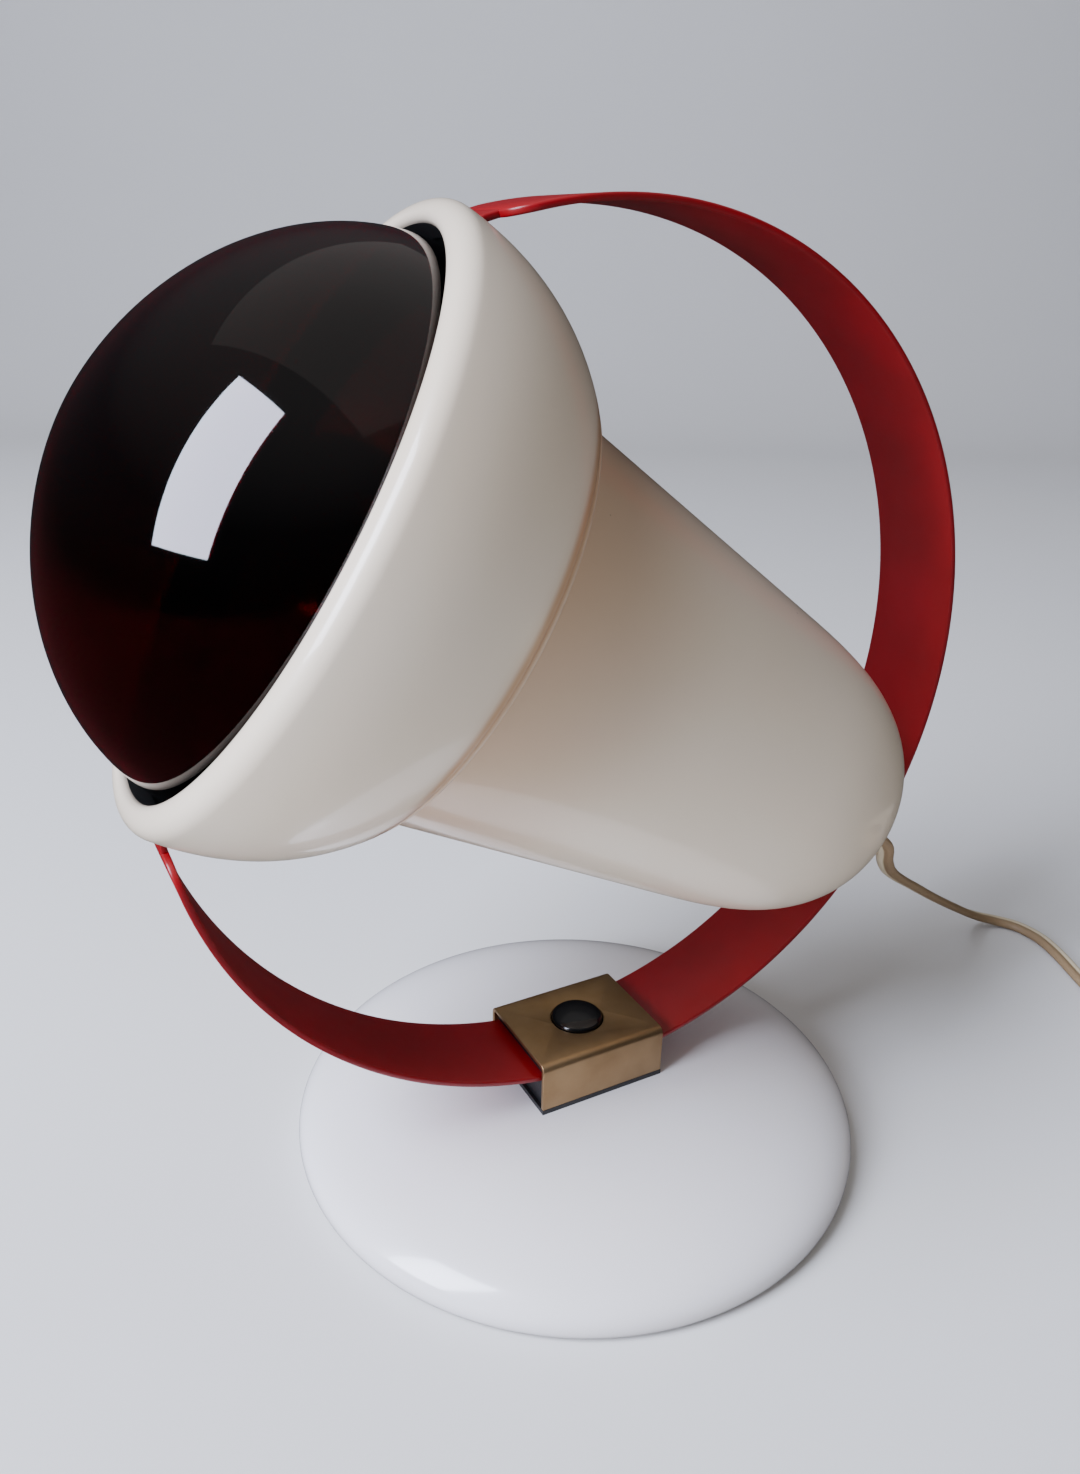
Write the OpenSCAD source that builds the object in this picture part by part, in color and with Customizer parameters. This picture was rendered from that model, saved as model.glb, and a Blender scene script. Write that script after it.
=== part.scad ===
// Infrared heat therapy lamp: a cup-shaped head on a strap ring that slides through a clamp on a round base.
// The origin is the centre of the base's underside, +Z is up and the lamp shines towards -Y.
// The head's own frame has its origin on the pivot axis, with local +Z towards the bulb's front.

/* [Pose] */
// Angle of the lamp's aim above the horizontal
head_tilt = 32; // [0:1:60]
// Turn of the head about its two pivots
head_turn = 5.5; // [0:0.5:15]

/* [Strap ring] */
// Outer diameter of the strap ring
ring_d = 218; // [214:1:232]
// Thickness of the strap
strap_t = 1.6; // [1.2:0.1:2]
// Width of the strap
strap_w = 27.6; // [24:0.2:32]
// Width of the strap's necked ends
neck_w = 14; // [12:0.5:18]
// Length of the neck between the fold and the full width
neck_l = 3; // [2:0.5:5]
// Radius of the fold's centre line at each end of the strap
fold_r = 2; // [1.6:0.1:3]
// Distance from the fold to the pivot axis
tab_l = 7.3; // [6.5:0.1:9]

/* [Base] */
// Diameter of the base
base_d = 158; // [148:1:180]
// Height of the base's flat top above the table
base_h = 18; // [16:0.5:24]
// Sheet thickness of the pressed base shell
base_wall = 1.2; // [0.8:0.1:1.6]
// Height of the widest line of the base's edge
base_edge_z = 4.5; // [3.5:0.25:6]
// Height of the base shell's lower rim above the table
rim_z = 0.8; // [0.4:0.1:1.2]
// Diameter of the flat seat at the middle of the base
seat_d = 54; // [50:1:64]
// Thickness of the rubber foot pad
foot_t = 1.6; // [1.2:0.1:2.4]
// Thickness of the steel bottom plate
plate_t = 1.2; // [0.8:0.1:1.6]
// Diameter of the iron weight
weight_d = 116; // [90:1:122]
// Thickness of the iron weight's disc
weight_t = 8; // [6:0.5:9]
// Diameter of the iron weight's hub
hub_d = 44; // [36:1:50]
// Shank diameter of the clamp bolt
bolt_d = 6; // [5:0.5:8]
// Radial clearance of the clamp bolt in its holes
bolt_gap = 0.25; // [0.1:0.05:0.5]

/* [Clamp] */
// Length of the clamp along the strap
cover_l = 38; // [34:1:42]
// Sheet thickness of the clamp cover
cover_t = 1.2; // [0.8:0.1:1.6]
// Outside radius of the cover's bent edges
cover_bend_r = 2; // [1.8:0.1:3]
// Clearance beside the strap inside the cover
strap_side_gap = 0.5; // [0.3:0.1:1]
// Height of the strap's underside above the base
saddle_h = 8.5; // [7.5:0.25:12]
// Thickness of the block's foot between the base and the cover's flanges
block_foot_t = 1.4; // [0.8:0.2:3]
// Distance of the block's and the guide's ends inside the cover's ends
clamp_inset = 1; // [0.5:0.25:2]
// Height between the strap and the underside of the cover
guide_h = 4.3; // [4:0.1:5.2]
// Running clearance between the strap and the clamp's friction faces
strap_gap = 0.3; // [0.25:0.05:0.4]
// Thickness of the leaf spring under the strap
leaf_t = 0.5; // [0.3:0.1:0.8]
// Width of the leaf spring
leaf_w = 12; // [8:0.5:18]

/* [Button] */
// Diameter of the release button
button_d = 14.4; // [12:0.2:16]
// Height of the button's dome above the cover
button_proud = 2.2; // [2:0.1:4]
// Travel of the release button
button_travel = 0.9; // [0.6:0.1:0.9]
// Radial clearance of the button in the cover
button_gap = 0.25; // [0.15:0.05:0.4]
// Width of the button's retaining flange
button_flange = 1.5; // [1.2:0.1:2]

/* [Bulb] */
// Diameter of the reflector bulb
bulb_d = 125; // [120:0.5:130]
// Height of the bulb's dome in front of its widest line
dome_h = 50.6; // [40:0.2:58]
// Length of the bulb behind its widest line down to the neck
bulb_back_l = 80; // [76:0.5:84]
// Diameter of the bulb's neck
neck_d = 40; // [36:0.5:44]
// Thickness of the bulb's glass
glass_t = 1.2; // [0.8:0.1:1.6]
// Distance of the bulb's widest line behind the front of the lip
bulb_setback = 9.9; // [8:0.1:12]
// Gap between the bulb and the hood's opening
bulb_gap = 1.4; // [1:0.1:3]

/* [Hood] */
// Width of the rolled lip
lip_w = 6.3; // [5.5:0.1:8]
// Rounding of the lip's inner edge
lip_inner_r = 1.7; // [1:0.1:2.4]
// Distance of the pivot axis behind the front of the lip
pivot_setback = 19.4; // [18:0.2:22]
// Length of the hood from its lip to its back
hood_l = 43.6; // [41:0.2:46]
// Length over which the hood's curve would close
hood_curve_l = 59; // [56:0.5:66]
// Wall thickness of the hood and the rear housing
head_wall = 2.2; // [1.6:0.1:2.8]
// Width of the bead round the hood's back edge
bead_w = 2.8; // [2:0.1:4]
// Depth of the groove in front of the bead
groove_d = 0.6; // [0.3:0.1:1]
// Distance of the pivot pads' inner faces from the bulb
pad_gap = 1.6; // [1.4:0.1:2]
// Diameter of the moulded recess at each pivot
recess_d = 26; // [25.5:0.5:29]

/* [Rear housing] */
// Step from the hood's back edge in to the rear housing
tail_step = 5.1; // [4:0.1:6]
// Inward taper of the housing's radius for each millimetre of length
tail_taper = 0.109; // [0.08:0.005:0.13]
// Length of the housing's rounded end
tail_end_l = 53.5; // [46:0.5:58]
// Gap between the housing's end and the strap
tail_gap = 18.5; // [17:0.5:22]
// Wall thickness of the spigot inside the hood
spigot_wall = 1.8; // [1.4:0.1:2]
// Thickness of the spigot's retaining ring
clip_t = 1; // [0.8:0.1:1.4]

/* [Pivots] */
// Diameter of the pivot rivets
rivet_d = 5; // [4:0.25:6]
// Radial running clearance of the strap's tabs on the rivets
rivet_gap = 0.05; // [0.03:0.01:0.08]
// Diameter of the rivets' outer heads
rivet_head_d = 9.4; // [8:0.2:11]
// Thickness of the rivets' outer heads
rivet_head_t = 0.9; // [0.6:0.1:1.2]
// Thickness of the friction washers
washer_t = 0.4; // [0.3:0.05:0.6]

/* [Lampholder] */
// Outer diameter of the lampholder's body
holder_d = 40; // [36:0.5:46]
// Diameter of the bulb's screw cap
cap_d = 26.4; // [26:0.1:27]
// Length of the bulb's screw cap
cap_l = 25; // [23:0.5:27]
// Width of the holder bracket
bracket_w = 14; // [12.5:0.5:18]
// Thickness of the holder bracket
bracket_t = 1.5; // [1:0.1:2]
// Distance between the bracket's two screws
bracket_pitch = 58; // [56:0.5:60]

/* [Cord] */
// Width of the flat two-core cord
cord_w = 5.2; // [4.6:0.1:5.4]
// Thickness of the flat two-core cord
cord_h = 2.8; // [2.4:0.1:3]
// Length of the gland outside the housing
gland_out = 9.2; // [7:0.2:9.6]
// Outer radius of the stored coil at the cord's centre line
coil_r = 37.5; // [34:0.5:42]
// Number of turns in each layer of the coil
layer_turns = 1.8472; // [1.8472:0.5:2.3472]
// Gap between the coil's neighbouring turns
coil_gap = 0.6; // [0.5:0.1:1]
// Thickness of the coil's tie
tie_t = 0.5; // [0.3:0.1:0.8]

/* [Plug] */
// Width of the plug's body
plug_w = 26; // [24:0.5:30]
// Length of the plug's body
plug_l = 25; // [22:0.5:30]
// Thickness of the plug's body
plug_t = 13.7; // [12:0.1:16]
// Distance between the plug's two pins
pin_pitch = 18.6; // [17:0.1:19]
// Length of the plug's pins
pin_l = 19; // [16:0.5:20]

/* [Hidden] */
$fn = 72;
eps = 0.01;

// Base and clamp heights
base_r = base_d / 2;
plate_top = foot_t + plate_t;
shell_in_z = base_h - base_wall;
bolt_head_h = 4;
bolt_head_d = bolt_d + 4.5;
washer_h = 1.2;
washer_d = bolt_head_d + 3;
pocket_d = washer_d + 2;
bolt_seat_z = plate_top + 0.6 + bolt_head_h + washer_h;
strap_z = base_h + saddle_h;
bolt_top_z = strap_z - 3.2;
cover_in_z = strap_z + strap_t + guide_h;
cover_top_z = cover_in_z + cover_t;
cover_w = strap_w + 2 * strap_side_gap + 2 * cover_t;
cover_in_w = cover_w - 2 * cover_t;
guide_w = cover_in_w - 2 * (cover_bend_r - cover_t) - 0.2;
flange_z = base_h + block_foot_t;
clamp_l = cover_l - 2 * clamp_inset;
leaf_l = 24.4;
leaf_free_l = 19;

// Button heights
flange_h = 0.8;
button_foot_d = button_d + 2 * button_flange;
recess_gap = 0.2;
ledge_z = cover_in_z - 0.1 - flange_h - button_travel - 0.35;
plunger_d = 9;
plunger_l = 0.4;
plunger_z = cover_in_z - 0.1 - flange_h - plunger_l;
button_round = 1.5;

// Ring
ring_r = ring_d / 2;
ring_ri = ring_r - strap_t;
ring_z = strap_z + ring_r;
ring_rm = ring_r - strap_t / 2;

// Head, measured along its axis from the pivot axis
bulb_r = bulb_d / 2;
open_r = bulb_r + bulb_gap;
hood_r = open_r + lip_w;
lip_outer_r = lip_w - lip_inner_r;
lip_a = pivot_setback;
full_a = lip_a - lip_outer_r;
hood_back_a = lip_a - hood_l;
bulb_a = lip_a - bulb_setback;
neck_a = bulb_a - bulb_back_l;
pad_y = bulb_r + pad_gap;
floor_y = pad_y + head_wall;
tab_y = floor_y + washer_t + 0.05;
tab_mid_y = tab_y + strap_t / 2;
rivet_head_y = tab_y + strap_t + 0.05;
fold_a = asin((tab_mid_y + fold_r) / (ring_rm - fold_r));
fold_t = (ring_rm - fold_r) * cos(fold_a);
pivot_t = fold_t - tab_l;

// Rear housing
tail_r = hood_r * pow(1 - pow((full_a - hood_back_a) / hood_curve_l, 2.2), 1 / 2.2) - tail_step;
tail_end_a = -(ring_ri - tail_gap) - pivot_t;
tail_cone_a = tail_end_a + tail_end_l;
tail_cone_r = tail_r - tail_taper * (hood_back_a - tail_cone_a);
spigot_r = tail_r - head_wall;
web_t = 2.6;
web_a = hood_back_a + web_t;
spigot_a = web_a + clip_t + 1;

// Lampholder and what it carries
glass_end_a = neck_a - 9.5;
glass_end_r = cap_d / 2 - 0.2;
cap_end_a = glass_end_a - cap_l;
contact_a = cap_end_a - 4.5;
holder_front_a = glass_end_a + 0.4;
bore_a = contact_a - 1.9;
holder_back_a = bore_a - 6;
bracket_back_a = holder_back_a - bracket_t;
sleeve_r = cap_d / 2 + 0.3;
sleeve_t = 0.5;
nipple_r = 5;
nipple_l = 8;
nut_t = 3.5;
column_d = 8;
block_l = 11.5;
block_back_a = bracket_back_a - block_l;
wire_y = 15;
wire_x = 1.5;
wire_r = 0.9;
lead_y = 19;
lead_turn_a = (tail_end_a + 6.5 + block_back_a - wire_y / 2 - wire_r) / 2;
screw_d = 2.5;
screw_l = 8;
screw_head_d = 5.6;

// Cord
gland_end_a = tail_end_a - gland_out;
gland_hole_d = 9;
cord_gap = 0.3;
coil_c = [70, 215];
coil_start = -105;
coil_pitch = cord_w + coil_gap;
coil_rise = cord_h + 0.5;
coil_z = tie_t + 0.1 + cord_h / 2;
coil_layers = 4;
coil_turns = coil_layers * layer_turns;
loop_rings = 24;
floor_z = cord_h / 2 + 0.05;
plug_x = 66;
plug_y = 271;

// Points of a superellipse's quarter, from the radius r on the first axis to the length l on the second
function quarter(r, l, n, k, a0 = 0, a1 = 90) = [for (i = [0:k])
    let (a = a0 + (a1 - a0) * i / k)
    [a >= 90 ? 0 : r * pow(cos(a), 2 / n), a <= 0 ? 0 : l * pow(sin(a), 2 / n)]];
function arc(c, r, a0, a1, k) = [for (i = [0:k]) let (a = a0 + (a1 - a0) * i / k) c + r * [cos(a), sin(a)]];
function flip(v) = [for (i = [len(v) - 1:-1:0]) v[i]];
function unit(v) = v / norm(v);
function ease(x) = x <= 0 ? 0 : x >= 1 ? 1 : x * x * (3 - 2 * x);

// Radius of the hood's outside and of the bulb's back at the place a along the head's axis
function hood_at(a) = hood_r * pow(1 - pow((full_a - a) / hood_curve_l, 2.2), 1 / 2.2);
function bulb_at(a) = let (x = (bulb_a - a) / bulb_back_l)
    neck_d / 2 + (bulb_r - neck_d / 2) * (1 + cos(180 * pow(x, 0.8))) / 2;

// Outside of the rear housing's rounded end, drawn in by w
function tail_end(w) = [for (p = quarter(1, 1, 3.1, 14))
    [(tail_cone_r - w - tail_taper * tail_end_l * p[1]) * p[0], tail_cone_a - (tail_end_l - w) * p[1]]];

// The ring's frame has its origin at the ring's centre and local +Z through the middle of the ring's gap
module ring_frame() translate([0, 0, ring_z]) rotate([90 - head_tilt, 0, 0]) children();
module head_frame() ring_frame() translate([0, 0, pivot_t]) rotate([0, -head_turn, 0]) children();
// Draws its 2D children about the strap ring's axis, from the back of the frame by the angles given
module about_x(a0, a1) rotate([0, 90, 0]) rotate([0, 0, a0]) rotate_extrude(angle = a1 - a0) children();
// Draws its 2D children along local +Y, from y0 over the height h
module along_y(y0, h) translate([0, y0, 0]) rotate([-90, 0, 0]) linear_extrude(h) children();
module both_ends() for (s = [0, 1]) mirror([0, s, 0]) children();
module tube_y(y0, h, d) translate([0, y0, 0]) rotate([-90, 0, 0]) cylinder(h = h, d = d);
module washer(z, h, d, hole) translate([0, 0, z]) difference() {
    cylinder(h = h, d = d);
    translate([0, 0, -1]) cylinder(h = h + 2, d = hole);
}

// Pressed steel shell with a flat seat, a soft shoulder and a rolled-in rim
function base_line(w) = [for (p = quarter(1, 1, 2.2, 16, 0, 90))
    [seat_d / 2 + (base_r - w - seat_d / 2) * p[0], base_edge_z + (base_h - w - base_edge_z) * p[1]]];
module base_shell() color("ivory") difference() {
    rotate_extrude() polygon(concat([[0, base_h - base_wall], [0, base_h]], flip(base_line(0)),
        [[base_r - 0.5, (base_edge_z + rim_z) / 2 + 0.5], [base_r - 1.6, rim_z],
        [base_r - 1.6 - base_wall, rim_z], [base_r - base_wall - 0.5, (base_edge_z + rim_z) / 2 + 0.5]],
        base_line(base_wall)));
    cylinder(h = base_h * 2, d = bolt_d + 2 * bolt_gap);
}

// Cast iron weight with a hub under the seat and a pocket for the bolt's head
module base_weight() color("dimgray") difference() {
    union() {
        translate([0, 0, plate_top]) cylinder(h = weight_t - 2, d = weight_d);
        translate([0, 0, plate_top + weight_t - 2]) cylinder(h = 2, d1 = weight_d, d2 = weight_d - 6);
        translate([0, 0, plate_top]) cylinder(h = shell_in_z - plate_top, d = hub_d);
    }
    cylinder(h = base_h * 2, d = bolt_d + 2 * bolt_gap);
    translate([0, 0, plate_top - 1]) cylinder(h = bolt_seat_z - plate_top + 1, d = pocket_d);
}

module base_plate() color("silver") translate([0, 0, foot_t])
    cylinder(h = plate_t, r = base_r - base_wall - 2.2);

module foot_pad() color("black") cylinder(h = foot_t, r = base_r - base_wall - 4);

// Bolt with a hexagon head, up through the weight and the shell into the clamp block
module clamp_bolt() color("silver") {
    translate([0, 0, bolt_seat_z - washer_h - bolt_head_h]) cylinder(h = bolt_head_h, d = bolt_head_d, $fn = 6);
    translate([0, 0, bolt_seat_z - washer_h - eps]) cylinder(h = bolt_top_z - bolt_seat_z + washer_h, d = bolt_d);
}

module bolt_washer() color("silver")
    washer(bolt_seat_z - washer_h, washer_h, washer_d, bolt_d + 2 * bolt_gap);

// Cylinder round the ring's axis, as long as the clamp is wide
module ring_cylinder(r, l) translate([-l / 2, 0, ring_z]) rotate([0, 90, 0]) cylinder(h = l, r = r, $fn = 180);

// Black moulded block with the strap's saddle and the leaf spring's pocket
module clamp_block() color([0.08, 0.08, 0.08]) difference() {
    union() {
        translate([-cover_w / 2, -cover_l / 2, base_h]) cube([cover_w, cover_l, block_foot_t]);
        translate([-cover_in_w / 2, -clamp_l / 2, base_h]) cube([cover_in_w, clamp_l, saddle_h + strap_t + 1.5]);
    }
    ring_cylinder(ring_r + strap_gap, cover_w + 2);
    leaf_zone(ring_r + strap_gap + leaf_t, leaf_l + 0.4, leaf_w + 0.4);
    leaf_zone(ring_r + strap_gap + leaf_t + 1, leaf_free_l, leaf_w + 0.4);
    translate([0, 0, base_h - 1]) cylinder(h = bolt_top_z - base_h + 1, d = bolt_d);
}

// The space under the strap within the radius r from the ring's axis, l long and w wide
module leaf_zone(r, l, w) intersection() {
    ring_cylinder(r, w);
    translate([-w, -l / 2, base_h]) cube([2 * w, l, saddle_h]);
}

// Curved bronze leaf that presses on the strap's outside
module strap_leaf() color("goldenrod") difference() {
    leaf_zone(ring_r + strap_gap + leaf_t, leaf_l, leaf_w);
    ring_cylinder(ring_r + strap_gap, cover_w);
}

// Black guide between the strap and the cover, with the button's stepped hole
module strap_guide() color([0.08, 0.08, 0.08]) difference() {
    intersection() {
        translate([-guide_w / 2, -clamp_l / 2, strap_z]) cube([guide_w, clamp_l, cover_in_z - strap_z]);
        ring_cylinder(ring_ri - strap_gap, cover_w + 2);
    }
    translate([0, 0, ledge_z]) cylinder(h = guide_h * 2, d = button_foot_d + 2 * recess_gap);
    translate([0, 0, strap_z]) cylinder(h = guide_h * 2, d = plunger_d + 2 * button_gap);
}

// Sheet metal channel with rounded bends and the button's hole
module channel_outline(w, h, r) {
    translate([-w / 2, 0]) square([w, h - r]);
    translate([-w / 2 + r, 0]) square([w - 2 * r, h]);
    for (s = [-1, 1]) translate([s * (w / 2 - r), h - r]) circle(r = r);
}
module clamp_cover() color("darkgoldenrod") difference() {
    translate([0, cover_l / 2, flange_z]) rotate([90, 0, 0]) linear_extrude(cover_l) difference() {
        channel_outline(cover_w, cover_top_z - flange_z, cover_bend_r);
        translate([0, -1]) channel_outline(cover_in_w, cover_in_z - flange_z + 1, cover_bend_r - cover_t);
    }
    translate([0, 0, strap_z]) cylinder(h = cover_top_z, d = button_d + 2 * button_gap);
}

// Dished spring washer under the button's flange
spring_top = cover_in_z - 0.1 - flange_h - 0.05;
module button_spring() color("silver") rotate_extrude() polygon([
    [button_foot_d / 2, ledge_z], [button_foot_d / 2, ledge_z + 0.3],
    [plunger_d / 2 + 0.8, spring_top], [plunger_d / 2 + 0.8, spring_top - 0.3]]);

// Domed button with a plunger and a flange that keeps it under the cover
module release_button() color([0.05, 0.05, 0.05]) {
    z1 = cover_in_z - 0.1;
    z2 = cover_top_z + button_proud - button_round;
    rotate_extrude() polygon(concat([[0, plunger_z], [plunger_d / 2, plunger_z],
        [plunger_d / 2, z1 - flange_h], [button_foot_d / 2, z1 - flange_h], [button_foot_d / 2, z1],
        [button_d / 2, z1]], [for (p = quarter(button_d / 2, button_round, 2.4, 8)) [p[0], z2 + p[1]]]));
}

// Open strap ring; each end necks down, folds back and lies under its pivot rivet
strap_end_l = neck_l + (strap_w - neck_w) / 2;
module strap_end_outline() {
    corner = (strap_w - neck_w) / 2;
    translate([-6, -neck_w / 2]) square([strap_end_l + 8, neck_w]);
    translate([strap_end_l, -strap_w / 2]) square([4, strap_w]);
    for (s = [-1, 1]) translate([strap_end_l, s * (strap_w / 2 - corner + 0.05)]) circle(r = corner);
}
fold_c = [tab_mid_y + fold_r, fold_t];
function strap_end(k) = concat(arc(fold_c, fold_r - strap_t / 2, 90 - fold_a, 180, k),
    [[tab_y + strap_t, pivot_t - neck_w / 2], [tab_y, pivot_t - neck_w / 2]],
    arc(fold_c, fold_r + strap_t / 2, 180, 90 - fold_a, k));
function inside(v) = [for (i = [1:len(v) - 2]) v[i]];
module strap_profile() polygon(concat(strap_end(10), inside(arc([0, 0], ring_r, 90 - fold_a, fold_a - 270, 140)),
    flip([for (p = strap_end(10)) [-p[0], p[1]]]),
    inside(arc([0, 0], ring_ri, fold_a - 270, 90 - fold_a, 140))));
module ring_strap() color("firebrick") ring_frame() difference() {
    rotate([90, 0, 90]) linear_extrude(strap_w, center = true) strap_profile();
    both_ends() {
        rotate([90 - fold_a, 0, 0]) strap_corners();
        tab_sides();
        translate([0, 0, pivot_t]) tube_y(tab_y - 1, strap_t + 2, rivet_d + 2 * rivet_gap);
    }
}
// What is cut beside each tab and round its end
module tab_sides() along_y(tab_y - 1, tab_mid_y + fold_r - tab_y + 1) difference() {
    translate([-strap_w / 2 - 1, -fold_t - 5]) square([strap_w + 2, tab_l + neck_w / 2 + 6]);
    translate([0, -pivot_t]) circle(d = neck_w);
    translate([-neck_w / 2, -fold_t - 6]) square([neck_w, tab_l + 6]);
}
// What is cut from the full width beside each neck, seen along the ring's radius at the strap's end
module strap_corners() along_y(ring_ri - 3, strap_t + 6) difference() {
    translate([-strap_w / 2 - 2, -4]) square([strap_w + 4, strap_end_l + 4]);
    rotate([0, 0, 90]) strap_end_outline();
}

// Rivets through the strap's tabs and the hood's pivot pads
module pivot_rivets() color("silver") head_frame() both_ends() {
    tube_y(rivet_head_y, rivet_head_t, rivet_head_d);
    tube_y(pad_y - eps, rivet_head_y - pad_y + 2 * eps, rivet_d);
    tube_y(pad_y - 1, 1, rivet_d + 2.4);
}

module pivot_washers() color("black") head_frame() both_ends() difference() {
    tube_y(floor_y, washer_t, rivet_head_d + 2);
    tube_y(floor_y - 1, washer_t + 2, rivet_d + 2 * rivet_gap);
}

// Outside of the hood from the lip's opening round to its back, as radius and place along the axis
function hood_outside() = concat(
    arc([open_r + lip_inner_r, lip_a - lip_inner_r], lip_inner_r, 180, 100, 5),
    arc([hood_r - lip_outer_r, full_a], lip_outer_r, 90, 0, 8),
    [for (i = [1:14]) let (a = full_a + (hood_back_a + bead_w + 0.4 - full_a) * i / 14) [hood_at(a), a]],
    [[hood_at(hood_back_a + bead_w) - groove_d, hood_back_a + bead_w]],
    [for (i = [0:5]) let (a = hood_back_a + (bead_w - 0.4) * (1 - i / 5))
        [hood_at(a) - 1.6 * pow(i / 5, 3), a]]);
module hood() color("ivory") head_frame() difference() {
    union() {
        rotate_extrude() polygon(concat(hood_outside(),
            [[spigot_r + 0.2, hood_back_a], [spigot_r + 0.2, web_a], [hood_at(web_a) - head_wall - 0.8, web_a]],
            [for (i = [0:9]) let (a = web_a + 1 + (full_a - 6 - web_a) * i / 9) [hood_at(a) - head_wall, a]],
            [[open_r, full_a - 2]]));
        intersection() {
            both_ends() tube_y(pad_y, lip_w + 2, recess_d + 2 * head_wall);
            rotate_extrude() polygon(concat(hood_outside(), [[0, hood_back_a], [0, lip_a - lip_inner_r]]));
        }
    }
    both_ends() {
        tube_y(floor_y, hood_r, recess_d);
        translate([-recess_d / 2, floor_y, hood_back_a - 5]) cube([recess_d, hood_r, -hood_back_a + 5]);
        tube_y(pad_y - 2, hood_r, rivet_d);
    }
}

// Blackened sheet liner between the bulb and the hood, open round the pivot pads
shield_t = 0.5;
shield_gap = 0.3;
function shield_line(w) = [for (i = [0:9])
    let (a = web_a + 1 + (full_a - 6.5 - web_a) * i / 9) [hood_at(a) - head_wall - shield_gap - w, a]];
module heat_shield() color([0.1, 0.1, 0.1]) head_frame() difference() {
    rotate_extrude() polygon(concat([[hood_at(web_a) - head_wall - 1.6, web_a]], shield_line(0),
        flip(shield_line(shield_t)), [[hood_at(web_a) - head_wall - 1.6 - shield_t, web_a]]));
    both_ends() tube_y(bulb_r / 2, hood_r, recess_d + 2 * head_wall + 2);
}

// Tapered housing with a rounded end, the spigot, the bracket's columns and the gland's hole
module rear_housing() color("ivory") head_frame() difference() {
    union() {
        rotate_extrude() polygon(concat([[tail_r, hood_back_a]], tail_end(0), flip(tail_end(head_wall)),
            [[tail_r - head_wall, hood_back_a - 3], [spigot_r - spigot_wall, hood_back_a - 1],
            [spigot_r - spigot_wall, spigot_a], [spigot_r, spigot_a], [spigot_r, hood_back_a]]));
        intersection() {
            both_ends() translate([0, bracket_pitch / 2, tail_end_a])
                cylinder(h = bracket_back_a - tail_end_a, d = column_d);
            rotate_extrude() polygon(concat([[0, hood_back_a], [tail_r, hood_back_a]], tail_end(0)));
        }
    }
    both_ends() translate([0, bracket_pitch / 2, bracket_back_a - screw_l - 2])
        cylinder(h = screw_l + 3, d = screw_d);
    translate([0, 0, tail_end_a - 1]) cylinder(h = head_wall * 3, d = gland_hole_d);
}

// Ring that holds the spigot against the hood's web
module retaining_ring() color("silver") head_frame() washer(web_a, clip_t, 2 * spigot_r + 6, 2 * spigot_r);

// Reflector bulb: a domed front, a tapering back and a narrow neck
function bulb_line(w) = concat(
    [for (p = flip(quarter(bulb_r - w, dome_h - w, 1.9, 18))) [p[0], bulb_a + p[1]]],
    [for (i = [1:18]) let (a = bulb_a - bulb_back_l * i / 18) [bulb_at(a) - w, a]]);
module bulb_glass() color([0.25, 0.02, 0.03]) head_frame() rotate_extrude() polygon(concat(bulb_line(0),
    [[glass_end_r, glass_end_a], [4, glass_end_a], [4, glass_end_a + 2], [glass_end_r - glass_t, glass_end_a + 2]],
    flip(bulb_line(glass_t))));

module bulb_cap() color("gold") head_frame() rotate_extrude() polygon([[0, glass_end_a],
    [cap_d / 2, glass_end_a], [cap_d / 2, cap_end_a], [8, cap_end_a - 2.5], [0, cap_end_a - 2.5]]);

module bulb_contact() color("silver") head_frame()
    translate([0, 0, contact_a]) cylinder(h = cap_end_a - 2.5 - contact_a, r = 4.5);

// Glass stem with four supports that carry the filament's ring
filament_r = 10;
filament_a = -20;
stem_a = -42;
module filament_mount() color("lightgray") head_frame() {
    translate([0, 0, glass_end_a]) cylinder(h = stem_a - glass_end_a - 12, r = 3.9);
    translate([0, 0, stem_a - 12]) cylinder(h = 12, r1 = 3.9, r2 = 1.6);
    for (i = [0:3]) rotate([0, 0, 90 * i]) translate([0, 0, stem_a - 1])
        rotate([0, atan(filament_r / (filament_a - stem_a + 1)), 0])
        cylinder(h = norm([filament_r, filament_a - stem_a + 1]), r = 0.5);
    translate([0, 0, filament_a]) rotate_extrude() translate([filament_r, 0]) circle(r = 0.9);
}

// Porcelain screw lampholder with a hollow nipple at its back
module lamp_holder() color("white") head_frame() rotate_extrude() polygon([
    [sleeve_r + sleeve_t, holder_front_a], [holder_d / 2 - 2, holder_front_a],
    [holder_d / 2, holder_front_a - 2], [holder_d / 2, holder_front_a - 12],
    [holder_d / 2 - 2.5, holder_front_a - 14], [holder_d / 2 - 2.5, holder_back_a + 6],
    [holder_d / 2 - 5, holder_back_a], [nipple_r, holder_back_a], [nipple_r, holder_back_a - nipple_l],
    [nipple_r - 1.5, holder_back_a - nipple_l], [nipple_r - 1.5, holder_back_a + 2], [0, holder_back_a + 2],
    [0, bore_a], [sleeve_r + sleeve_t, bore_a]]);

module holder_sleeve() color("gold") head_frame()
    washer(bore_a + 1, glass_end_a - 4 - bore_a, 2 * (sleeve_r + sleeve_t), 2 * sleeve_r);

module holder_contact() color("gold") head_frame()
    translate([0, 0, bore_a]) cylinder(h = contact_a - 0.3 - bore_a, r = 3.5);

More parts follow.
